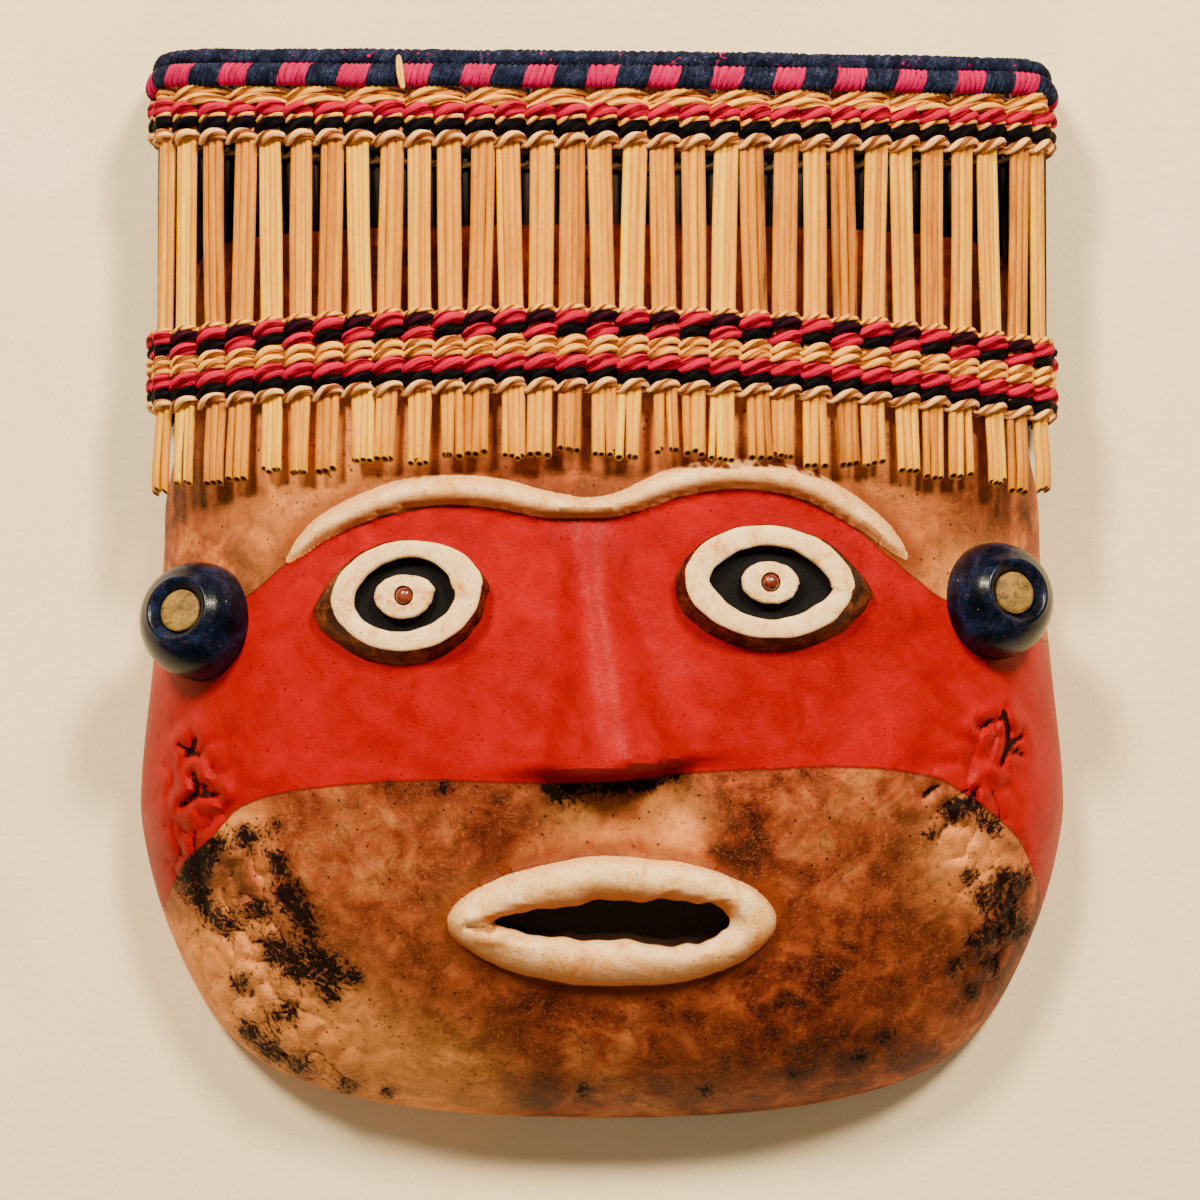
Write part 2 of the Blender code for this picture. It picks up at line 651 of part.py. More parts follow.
def roll(name, height, out, halves, mat):
    """A cord-wrapped roll that binds the crown's top edge, right round the ring."""
    places = [s for s in np.linspace(-ARC_LENGTH, ARC_LENGTH, 17)]
    places += [ARC_LENGTH + CORNER_LENGTH * k / 3 for k in (1, 2, 3)]
    places += wall_places(3)[1:-1]
    places += [-ARC_LENGTH - CORNER_LENGTH * k / 3 for k in (3, 2, 1)]
    sections = []
    for s in places:
        x = ring_frame(s, MID_BAND_HEIGHT)[0][0]
        y = height + top_rise(x)
        ring = []
        for k in range(ROLL_SIDES):
            a = 2 * math.pi * (k + 0.5) / ROLL_SIDES
            px, _, pz = ring_point(s, y, out + halves[0] * math.cos(a))
            ring.append((px, y + halves[1] * math.sin(a), pz))
        sections.append(ring)
    loft(name, sections, closed=True, mat=mat)


def crown():
    """The whole crown: reeds, bands, rolls and back wall."""
    reed = material("tan_reed", (0.72, 0.5, 0.27), 0.5)
    for i in range(BUNDLES):
        reed_bundle(i, reed)
    crown_back(material("dark_reed", (0.05, 0.03, 0.02), 0.7))
    band("mid_band", MID_BAND, side_drop, material("red_black_twining", (0.45, 0.05, 0.08), 0.8))
    band("top_band", TOP_BAND, top_rise, material("red_tan_twining", (0.5, 0.2, 0.12), 0.8))
    front_out = REED_RADIUS + GAP + FRONT_ROLL[0]
    roll("rim_roll_front", FRONT_ROLL_HEIGHT, front_out, FRONT_ROLL,
         material("navy_pink_cord", (0.3, 0.03, 0.1), 0.8))
    roll("rim_roll_top", TOP_ROLL_HEIGHT, 0.0, TOP_ROLL, material("navy_cord", (0.02, 0.03, 0.06), 0.8))


gourd_shell()
ROOM = shell_room()
for SIDE in ("left", "right"):
    eye(SIDE, ROOM)
    ear_plug(SIDE, ROOM)
crown()
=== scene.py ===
"""Looks of the gourd face mask: painted gourd, glued eyes, lacquered ear plugs and a twined reed crown.

Lengths are in millimetres, with heights measured up from the chin, as a maker would take them.
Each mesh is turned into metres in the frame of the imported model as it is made.
"""
import math

import bpy
import numpy as np
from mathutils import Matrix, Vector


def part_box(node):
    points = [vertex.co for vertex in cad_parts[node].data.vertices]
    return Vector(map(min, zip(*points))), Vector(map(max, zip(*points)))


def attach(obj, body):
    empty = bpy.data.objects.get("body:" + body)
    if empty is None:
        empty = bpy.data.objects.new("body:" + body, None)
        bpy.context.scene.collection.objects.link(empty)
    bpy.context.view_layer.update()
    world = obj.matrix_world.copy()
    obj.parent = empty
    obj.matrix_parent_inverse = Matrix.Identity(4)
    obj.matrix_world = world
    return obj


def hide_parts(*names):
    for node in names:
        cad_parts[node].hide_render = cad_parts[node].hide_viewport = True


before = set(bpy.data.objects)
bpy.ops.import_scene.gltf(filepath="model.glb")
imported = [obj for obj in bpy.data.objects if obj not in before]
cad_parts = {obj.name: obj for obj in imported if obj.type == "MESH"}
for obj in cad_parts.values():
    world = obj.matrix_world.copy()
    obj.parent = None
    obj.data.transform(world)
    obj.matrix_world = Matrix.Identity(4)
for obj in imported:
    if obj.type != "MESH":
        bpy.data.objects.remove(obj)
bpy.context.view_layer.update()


# The gourd shell. The real one is half of a large dried gourd with a 5 mm wall, sawn along its
# edge, with the brow, the nose and the lips worked up on its face and a slot cut for the mouth.
# It is painted red over the middle of the face and cream on the brow and lips, and burnt in places; the
# black under the nose is black nostrils with painted shadow under the tip.
MM = 0.001
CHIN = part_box("gourd_shell")[0][1]
SIDE_OUTLINE = [(0, 0), (24, 0.6), (43, 2.2), (59, 5), (74.3, 9.9), (86, 17.2),
                (95.3, 28.6), (104.2, 48.2), (109.1, 67.2), (109.68, 81.2), (107, 107.2),
                (104.6, 130.2), (103.6, 146), (99.8, 163), (98.5, 187), (96.5, 200)]
TOP_EDGE = [(88, 205.7), (60, 207.6), (0, 208.2)]
WALL = 5.0
DOME_HEIGHT = 58.0
DOME_MIDDLE = 117.0
DOME_TOP_FALL = 3.5
SHELL_TOP = 208.2
CHEEK_ROUND = 2.6
FOREHEAD_ROUND = 2.03
DOME_FULL = 2.2
RIM_LIFT = 9.8
LIFTED_FROM, LIFTED_TO = 136.0, 160.0
BROW_FROM, BROW_TO = 112.0, 152.0


def smooth_line(points, steps):
    """A Catmull-Rom curve: between two points, a cubic through them that heads for their neighbours."""
    pts = np.array(points, dtype=float)
    ends = np.vstack([2 * pts[0] - pts[1], pts, 2 * pts[-1] - pts[-2]])
    a, b, c, d = (ends[k:k + len(pts) - 1, None, :] for k in range(4))
    t = np.linspace(0, 1, steps, endpoint=False)[None, :, None]
    square, cube = 2 * a - 5 * b + 4 * c - d, 3 * b - a - 3 * c + d
    line = 0.5 * (2 * b + (c - a) * t + square * t ** 2 + cube * t ** 3)
    return np.vstack([line.reshape(-1, pts.shape[1]), pts[-1:]])


def even_steps(line, count):
    """The same polyline with count points at equal distances along it."""
    along = np.concatenate([[0], np.cumsum(np.linalg.norm(np.diff(line, axis=0), axis=1))])
    at = np.linspace(0, along[-1], count)
    return np.column_stack([np.interp(at, along, line[:, k]) for k in range(line.shape[1])])


def circle(count):
    """Angles at even steps once round."""
    return np.linspace(0, 2 * np.pi, count, endpoint=False)


def eased(v, start, end):
    """0 before start, 1 after end, and a smooth 3t^2 - 2t^3 between."""
    t = np.clip((v - start) / (end - start), 0, 1)
    return t * t * (3 - 2 * t)


SIDE = smooth_line(SIDE_OUTLINE, 8)


def bare_face(x, y, inset=0.0):
    """Height of the bare gourd over the ground: middle height times (1 - (x / half width)^p)^(1/q)."""
    low = RIM_LIFT * eased(y, LIFTED_FROM, LIFTED_TO)
    under = np.clip((DOME_MIDDLE - y) / DOME_MIDDLE, 0, 1)
    over = np.clip((y - DOME_MIDDLE) / (SHELL_TOP - DOME_MIDDLE), 0, 1)
    middle = DOME_HEIGHT * (1 - under ** CHEEK_ROUND) ** (1 / DOME_FULL) - DOME_TOP_FALL * over ** 2
    across = np.clip(np.abs(x) / np.maximum(np.interp(y, SIDE[:, 1], SIDE[:, 0]), 0.001), 0, 1)
    bulge = CHEEK_ROUND + (FOREHEAD_ROUND - CHEEK_ROUND) * eased(y, BROW_FROM, BROW_TO)
    full = (1 - across ** bulge) ** (1 / DOME_FULL)
    return low + (middle - np.minimum(inset, middle) - low) * full


MOUTH_AT = np.array([2.2, 50.2])
MOUTH_SLOT = (26.8, 4.7)
LIP_OUTER = (37.4, 15.0)
LIP_RISE = 5.0
SLOT_ROUGH = 1.0
LIP_ROUGH = 0.12


def mouth_oval(half_sizes, a, rough):
    """Points on an oval drawn in at its corners, x = A cos a, y = B sin a (0.8 + 0.2 |sin a|).

    A rough one is blunt at its right end, sharp at its left and uneven along its edge.
    """
    blunt = 1 + rough * (0.9 * eased(np.cos(a), 0.2, 0.95) - 0.25 * eased(-np.cos(a), 0.2, 0.95))
    uneven = 1 + rough * (0.10 * np.sin(5 * a + 0.7) + 0.07 * np.sin(11 * a + 2.0) + 0.04 * np.sin(23 * a))
    y = half_sizes[1] * np.sin(a) * (0.8 + 0.2 * np.abs(np.sin(a))) * blunt * uneven
    return MOUTH_AT + np.stack([half_sizes[0] * np.cos(a), y], axis=-1)


BROW_LINE = even_steps(smooth_line([(-71.6, 132.4), (-62.4, 140.3), (-44.4, 147.3), (-26.5, 147.7),
                                    (-11.6, 144.7), (1.8, 144.4), (16.7, 149.8), (31.7, 151.7),
                                    (46.8, 149.1), (60.6, 141.1), (69.4, 133.1)], 12), 260)
BROW_HALF = 3.4
BROW_RISE = 4.1
BROW_THIN = 0.28


def brow(x, y):
    """Distance inside the brow's edge, and its height 1 - u^2.4 with u the share of its half width."""
    near = np.full(x.shape, 1e9)
    place = np.zeros(x.shape)
    for k, (bx, by) in enumerate(BROW_LINE):
        far = (x - bx) ** 2 + (y - by) ** 2
        place = np.where(far < near, k, place)
        near = np.minimum(near, far)
    t = 2 * place / (len(BROW_LINE) - 1) - 1
    taper = np.sqrt(np.clip(1.02 - np.abs(t) ** 6, 0.05, 1))
    half = BROW_HALF * taper
    half = half * (1 - BROW_THIN * np.exp(-((x + 1.5) / 12.0) ** 2))
    u = np.clip(np.sqrt(near) / half, 0, 1)
    return half - np.sqrt(near), BROW_RISE * taper * (1 - u ** 2.4)


NOSE_TOP = 143.0
NOSE_TIP = 85.4
NOSE_RISE = 15.2


def nose(x, y):
    """Height of the nose: a bell-shaped ridge that widens and rises towards its tip, cut off below."""
    t = np.clip((NOSE_TOP - y) / (NOSE_TOP - NOSE_TIP), 0, 1.1)
    middle = -4.5 + 7.5 * t
    wide = 6.8 + 11.3 * t ** 1.5
    u = (x - middle) / wide
    bell = 0.5 + 0.5 * np.cos(np.pi * np.clip(np.abs(u), 0, 1) ** 1.25)
    skirt = 0.5 + 0.5 * np.cos(np.pi * np.clip(u / 1.9, -1, 1))
    wings = 0.16 * np.exp(-((np.abs(u) - 0.66) / 0.2) ** 2) * np.exp(-((t - 0.93) / 0.09) ** 2)
    rise = 1.2 + NOSE_RISE * t ** 1.25
    low = 81.5 + 0.08 * (x + 13.0) + 1.2 * np.clip(u, -1, 1) ** 2
    ends = eased(y, 146.0, 136.0) * eased(y, low, low + 3.4)
    return rise * (0.60 * bell + 0.40 * skirt + wings) * ends


def lips(x, y):
    """Height of the lips: a rounded ring between the slot and the outer oval, and the distance inside it."""
    a = np.linspace(-np.pi, np.pi, 721)
    away = np.stack([x, y], axis=-1) - MOUTH_AT
    turn = np.arctan2(away[..., 1], away[..., 0])
    reach = np.hypot(away[..., 0], away[..., 1])
    edges = []
    for sizes, rough in ((MOUTH_SLOT, SLOT_ROUGH), (LIP_OUTER, LIP_ROUGH)):
        oval = mouth_oval(sizes, a, rough) - MOUTH_AT
        edges.append(np.interp(turn, np.arctan2(oval[:, 1], oval[:, 0]), np.hypot(oval[:, 0], oval[:, 1]),
                               period=2 * np.pi))
    u = 2 * (reach - edges[0]) / (edges[1] - edges[0]) - 1
    height = LIP_RISE * (1 - np.clip(np.abs(u * 0.97 - 0.03), 0, 1) ** 2.1) ** 0.78
    return (1 - u) * (edges[1] - edges[0]) / 2, np.where(u > 1, 0, height)


def waves(x, y, size, seed, count=7):
    """Soft unevenness between about -1 and 1: sines of about the given length in several directions."""
    rng = np.random.default_rng(seed)
    total = np.zeros(np.broadcast(x, y).shape)
    for _ in range(count):
        turn, shift = rng.uniform(0, 2 * np.pi, 2)
        length = size * rng.uniform(0.6, 1.5)
        total += np.sin((x * math.cos(turn) + y * math.sin(turn)) * 2 * np.pi / length + shift)
    return total / math.sqrt(count)


# Where the skin is puckered and where it is burnt, as (x, height, radius); the spots under the nose paint
# black nostrils and the painted shadow under its tip
PUCKERED = [(-96, 84, 12), (-92, 66, 12), (-82, 52, 13), (-88, 38, 12), (-76, 24, 12), (-62, 12, 9),
            (91, 91, 9), (82, 74, 12), (92, 56, 13), (92, 38, 9)]
BURNT_AND_NOSE_SHADOW = [(-96, 60, 6), (-90, 66, 6), (-81, 69, 4), (-74, 72, 3), (-93, 53, 4), (-88, 48, 4), (-74, 64, 4),
         (-71, 57, 5), (-80, 52, 5), (-68, 50, 5), (-76, 43, 4), (-70, 39, 6), (-63, 40, 5), (-56, 37, 3),
         (-62, 32, 4), (-84, 34, 4), (-74, 27, 5), (-83, 22, 4), (-78, 17, 4), (-70, 14, 5), (-60, 9, 4),
         (-50, 8, 3), (86, 77, 4), (80, 75, 4), (75, 69, 3), (90, 71, 4), (98, 58, 3.8), (92, 59, 3.4),
         (84, 60, 3), (88, 54, 4), (95, 52, 3.8), (99, 46, 3.8), (92, 46, 3.8), (86, 44, 4), (81, 38, 3.6),
         (91, 38, 3.6), (86, 32, 3.2), (-6, 82, 6), (-11, 81.4, 4), (8, 85, 5), (2, 82.6, 4.4),
         (9, 83.2, 4), (16, 84.4, 3.6), (-36, 81, 3), (66, 22, 4), (60, 17, 3), (24, 9, 3), (-4, 9, 3),
         (44, 14, 3)]
# Open cracks, as lines of (x, height)
CRACKS = [[(-98, 89.6), (-95.8, 88.4), (-93, 87.6)], [(-96.6, 87), (-94.6, 88.4), (-94, 91)],
          [(-97.4, 75.6), (-93.6, 78.2), (-88.4, 78.6)],
          [(-94.4, 83.4), (-93.4, 80.4), (-93.6, 78.2), (-95, 77.6)], [(-92, 80.4), (-90.6, 78.6)],
          [(92.6, 97.4), (93.6, 94), (93.7, 91), (93.1, 88.2), (92, 85.4)],
          [(92.8, 96.6), (90.4, 95.6), (86.6, 94.2)], [(93.4, 89), (95, 90.6), (97.2, 91.6)],
          [(92.9, 88), (95.4, 88.4), (97.4, 87.4)], [(76.6, 80.9), (74.8, 80), (73.2, 78.4)],
          [(-30.2, 49.3), (-27.8, 48.9), (-24.6, 48.8)], [(85.5, 79), (84, 76)]]


def crack_distance(x, y):
    """Distance to the nearest crack line."""
    near = np.full(x.shape, 30.0)
    for line in CRACKS:
        for (ax, ay), (bx, by) in zip(line[:-1], line[1:]):
            run = (bx - ax) ** 2 + (by - ay) ** 2
            t = np.clip(((x - ax) * (bx - ax) + (y - ay) * (by - ay)) / run, 0, 1)
            near = np.minimum(near, np.hypot(x - ax - t * (bx - ax), y - ay - t * (by - ay)))
    return near


def spots(x, y, places):
    """Sum of bells exp(-(distance / radius)^2) over the places."""
    return sum(np.exp(-(((x - px) ** 2 + (y - py) ** 2) / r ** 2)) for px, py, r in places)


LOWER_FACE = (112, 110)


def cells(x, y, size, seed):
    """Distances to the nearest and the next of scattered points, about size apart, over the lower face."""
    rng = np.random.default_rng(seed)
    gx, gy = np.meshgrid(np.arange(-LOWER_FACE[0], LOWER_FACE[0], size), np.arange(0, LOWER_FACE[1], size))
    gx, gy = (g.ravel() + rng.uniform(-0.42, 0.42, g.size) * size for g in (gx, gy))
    worth = np.flatnonzero(spots(gx, gy, PUCKERED) > 0.05)
    first = np.full(x.shape, 1e6)
    second = np.full(x.shape, 1e6)
    for k in worth:
        far = np.hypot(x - gx[k], y - gy[k])
        second = np.minimum(second, np.maximum(first, far))
        first = np.minimum(first, far)
    return first, second


COLUMNS = 540
LIP_ROWS = 16
FACE_ROWS = 138
INSIDE_ROWS = 18
CELL_SIZE = 7.4
BULGE_RISE, BULGE_SINK = 2.2, 1.2
BURN_MOST = 1.15


def gourd_grid():
    """Rows of points that run out from the slot over the face to the rim, and back inside to the slot.

    A point's height is the bare face, plus the largest of brow, nose and lips, plus bulges, cracks
    and soft waves; inside it is the bare face less the wall.
    """
    side = np.vstack([SIDE, smooth_line([SIDE_OUTLINE[-1]] + TOP_EDGE, 6)[1:]])
    rim = even_steps(np.vstack([side, (side * [-1, 1])[::-1][1:]]), COLUMNS + 1)[:-1]
    a = np.arctan2(rim[:, 1] - MOUTH_AT[1], rim[:, 0] - MOUTH_AT[0])
    slot = mouth_oval(MOUTH_SLOT, a, SLOT_ROUGH)
    outer = mouth_oval(LIP_OUTER, a, LIP_ROUGH)
    v = np.linspace(0, 1, LIP_ROWS, endpoint=False)[:, None, None]
    t = np.linspace(0, 1, FACE_ROWS)
    left = np.where(t < 0.8, 1 - 0.93 * t / 0.8, 0.07 * (np.clip(1 - t, 0, 1) / 0.2) ** 2.2)[:, None, None]
    plan = np.concatenate([slot + (outer - slot) * v, rim + (outer - rim) * left])
    x, y = plan[..., 0], plan[..., 1]
    brow_in, brow_up = brow(x, y)
    lip_in, lip_up = lips(x, y)
    pucker = np.clip(spots(x, y, PUCKERED), 0, 1)
    burn = np.minimum(spots(x, y, BURNT_AND_NOSE_SHADOW), BURN_MOST)
    wander_x, wander_y = x + 0.9 * waves(x, y, 9.0, 21), y + 0.9 * waves(x, y, 9.0, 22)
    first, second = cells(wander_x, wander_y, CELL_SIZE, 4)
    crease = second - first
    edge = np.clip(bare_face(x, y) / 12.0, 0, 1)
    bulges = pucker * (BULGE_RISE * np.sqrt(np.clip(crease / 5.6, 0, 1)) - BULGE_SINK) * edge
    crack = crack_distance(x, y)
    lifted, split = np.exp(-((crack - 2.4) / 1.6) ** 2), np.exp(-(crack / 0.8) ** 2)
    bulges = bulges + (0.9 * lifted - 1.0 * split) * edge
    # Painted shade for the cream: darker on the downward faces of the lips and brow, and over the lower lip
    step = 0.6
    under_lip = (lips(x, y + step)[1] - lips(x, y - step)[1]) / (2 * step)
    under_brow = (brow(x, y + step)[1] - brow(x, y - step)[1]) / (2 * step)
    low_lip = 0.8 * eased(y, MOUTH_AT[1] - 4.0, MOUTH_AT[1] - 12.0)
    shade = np.clip(np.maximum(under_lip, under_brow), low_lip, 1.2)
    soft = (0.22 * waves(x, y, 38.0, 1) + 0.10 * waves(x, y, 11.0, 2)) * edge
    worked = np.clip(brow_up / 2, 0, 1) + np.clip(lip_up / 2, 0, 1)
    fine = 0.10 * waves(x, y, 5.0, 3) * worked
    up = np.maximum(brow_up, nose(x, y)) + 0.12 * np.minimum(brow_up, nose(x, y))
    z = bare_face(x, y) + np.maximum(up, lip_up) + bulges + soft + fine
    z = np.where(np.arange(len(plan))[:, None] == len(plan) - 1, bare_face(x, y), z)
    skin = np.stack([x, y, z], axis=-1)

    into = np.linspace(1, 0, INSIDE_ROWS)[:, None, None] ** 1.6
    inner = rim + (slot - rim) * (1 - into)
    x2, y2 = inner[..., 0], inner[..., 1]
    drop = np.clip(1 - y2 / 70.0, 0, 1)
    hollow = np.stack([x2 * (1 - WALL / 104.0), y2 + WALL * drop, bare_face(x2, y2, WALL)], axis=-1)
    hollow[-1, :, :2] = slot
    grid = np.concatenate([skin, hollow])
    marks = {"brow_in": brow_in, "lip_in": lip_in, "pucker": pucker, "burn": burn, "crease": crease,
             "crack": crack, "shade": shade}
    inside = np.zeros(hollow.shape[:2])
    return grid, {key: np.concatenate([value, inside - 20.0 * key.endswith("in")])
                  for key, value in marks.items()}


def piece(name, grids, material, nodes, loop=False, marks=None, crease_angle=None):
    """One object from grids of points (rows, columns, 3): columns join round, rows too when loop is set.

    marks holds a number, or a triple, for each point, kept as an attribute for the material.
    """
    points, faces, start = [], [], 0
    for grid in grids:
        rows, columns = grid.shape[:2]
        index = start + np.arange(rows * columns).reshape(rows, columns)
        low = index if loop else index[:-1]
        high = np.roll(index, -1, axis=0) if loop else index[1:]
        quads = np.stack([low, np.roll(low, -1, axis=1), np.roll(high, -1, axis=1), high], axis=-1)
        faces += quads.reshape(-1, 4).tolist()
        if not loop:
            faces += [index[0, ::-1].tolist(), index[-1].tolist()]
        points.append(grid.reshape(-1, 3))
        start += rows * columns
    points = np.concatenate(points) * MM + np.array([0, CHIN, 0])
    mesh = bpy.data.meshes.new(name)
    mesh.from_pydata(points.tolist(), [], faces)
    for key, value in (marks or {}).items():
        value = np.asarray(value, dtype=np.float32)
        triple = value.ndim > 1 and value.shape[-1] == 3
        layer = mesh.attributes.new(key, "FLOAT_VECTOR" if triple else "FLOAT", "POINT")
        layer.data.foreach_set("vector" if triple else "value", value.ravel())
    corners = points[np.array([face[:3] for face in faces])]
    volume = np.einsum("ij,ij->i", corners[:, 0], np.cross(corners[:, 1], corners[:, 2])).sum()
    if volume < 0:
        mesh.flip_normals()
    mesh.shade_smooth()
    if crease_angle:
        mesh.set_sharp_from_angle(angle=math.radians(crease_angle))
    mesh.materials.append(material)
    obj = bpy.data.objects.new(name, mesh)
    bpy.context.scene.collection.objects.link(obj)
    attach(obj, "root")
    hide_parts(*nodes)


def linear(red, green, blue):
    """A screen colour from 0 to 255 as the linear colour that a node takes: ((c + 0.055) / 1.055)^2.4."""
    shares = [c / 255 for c in (red, green, blue)]
    return [c / 12.92 if c < 0.0405 else ((c + 0.055) / 1.055) ** 2.4 for c in shares] + [1.0]


class Value:
    """A socket that can be added, multiplied and so on in a shader, as a number can."""

    def __init__(self, finish, socket):
        """Keeps the finish that the socket belongs to, and the socket."""
        self.finish = finish
        self.socket = socket

    def math(self, operation, *values):
        """A Math node on one or two values or numbers."""
        return self.finish.add("ShaderNodeMath", {"operation": operation}, dict(enumerate(values)))

    def __add__(self, other):
        """The sum of two values."""
        return self.math("ADD", self, other)

    def __radd__(self, other):
        """The sum, with a number on the left."""
        return self.math("ADD", other, self)

    def __sub__(self, other):
        """The value less another."""
        return self.math("SUBTRACT", self, other)

    def __rsub__(self, other):
        """A number less the value."""
        return self.math("SUBTRACT", other, self)

    def __mul__(self, other):
        """The product of two values."""
        return self.math("MULTIPLY", self, other)

    def over(self, start, end):
        """0 at start, 1 at end, with a smooth change between."""
        settings = {"interpolation_type": "SMOOTHSTEP"}
        inputs = {"Value": self, "From Min": start, "From Max": end}
        return self.finish.add("ShaderNodeMapRange", settings, inputs)

    def size(self):
        """The value without its sign."""
        return self.math("ABSOLUTE", self)

    def either(self, other):
        """The larger of two values."""
        return self.math("MAXIMUM", self, other)


class Finish:
    """A material under way: its nodes, and its shader with the plain values set on it."""

    def __init__(self, name, **plain):
        """Makes the material, and sets each plain value on the shader's input of that name."""
        self.material = bpy.data.materials.new(name)
        self.material.use_nodes = True
        self.tree = self.material.node_tree
        self.shader = self.tree.nodes["Principled BSDF"]
        for key, value in plain.items():
            self.shader.inputs[key.replace("_", " ").title().replace("Ior", "IOR")].default_value = value

    def add(self, kind, settings, inputs, output=0):
        """A node of one kind, with its settings made first and then its inputs; the result is its output."""
        node = self.tree.nodes.new(kind)
        for key, value in settings.items():
            if key == "stops":
                ramp = node.color_ramp.elements
                while len(ramp) < len(value):
                    ramp.new(0.5)
                for element, (place, colour) in zip(ramp, value):
                    element.position = place
                    element.color = linear(*colour)
            else:
                setattr(node, key, value)
        for key, value in inputs.items():
            if isinstance(value, Value):
                self.tree.links.new(node.inputs[key], value.socket)
            else:
                node.inputs[key].default_value = value
        return Value(self, node.outputs[output])

    def mark(self, name, output="Fac"):
        """An attribute kept on the mesh."""
        return self.add("ShaderNodeAttribute", {"attribute_name": name}, {}, output)

    def place(self, scale=(1 / MM,) * 3, source=None):
        """Object coordinates, or another vector, times a scale; the plain scale gives millimetres."""
        source = source or self.add("ShaderNodeTexCoord", {}, {}, "Object")
        return self.add("ShaderNodeVectorMath", {"operation": "MULTIPLY"}, {0: source, 1: scale})

    def noise(self, vector, size, detail=3.0, rough=0.5, twist=0.0):
        """Noise with features about size across."""
        return self.add("ShaderNodeTexNoise", {}, {"Vector": vector, "Scale": 1 / size, "Detail": detail,
                                                   "Roughness": rough, "Distortion": twist})

    def dots(self, vector, spacing):
        """Distance to scattered points that are about spacing apart, in units of spacing."""
        return self.add("ShaderNodeTexVoronoi", {}, {"Vector": vector, "Scale": 1 / spacing}, "Distance")

    def mix(self, factor, first, second):
        """One colour turning into another."""
        def shown(colour):
            """A Value as it is, or a screen colour as a linear one."""
            return colour if isinstance(colour, Value) else linear(*colour)
        return self.add("ShaderNodeMix", {"data_type": "RGBA"},
                        {0: factor, 6: shown(first), 7: shown(second)}, 2)

    def ramp(self, value, stops):
        """A colour ramp."""
        return self.add("ShaderNodeValToRGB", {"stops": stops}, {0: value})

    def finished(self, colour, roughness, height, depth):
        """Joins colour, roughness and height, in shares of depth, to the shader; returns the material."""
        bump = self.add("ShaderNodeBump", {}, {"Height": height, "Distance": depth, "Strength": 1.0})
        for key, value in (("Base Color", colour), ("Roughness", roughness), ("Normal", bump)):
            self.tree.links.new(self.shader.inputs[key], value.socket)
        return self.material


RED_ABOVE = smooth_line([(-112, 104), (-93.2, 118.4), (-80.7, 124.6), (-71.9, 131.7), (-60.5, 138.3),
                         (-52.2, 141.6), (-33.9, 144.7), (-19, 142.9), (-4.1, 141.7), (9.2, 144),
                         (24.1, 148.1), (39.3, 147.9), (54.4, 141.4), (65.1, 133.3), (77.4, 123.7),
                         (90, 118.5), (103.9, 113.7), (112, 110)], 6)
RED_BELOW = smooth_line([(-112, 28), (-104.9, 47.5), (-101.2, 54.9), (-96.8, 62.5), (-90.6, 68),
                         (-82.2, 76.1), (-67.3, 80.3), (-41.6, 82.4), (-13.1, 81.9), (-2, 82),
                         (10.8, 83), (20, 84.2), (35.4, 85), (58, 85.4), (73.6, 83.2),
                         (81.4, 80), (89.5, 74.3), (96.3, 67.9), (100, 61.3), (103.7, 51.2),
                         (112, 22)], 6)


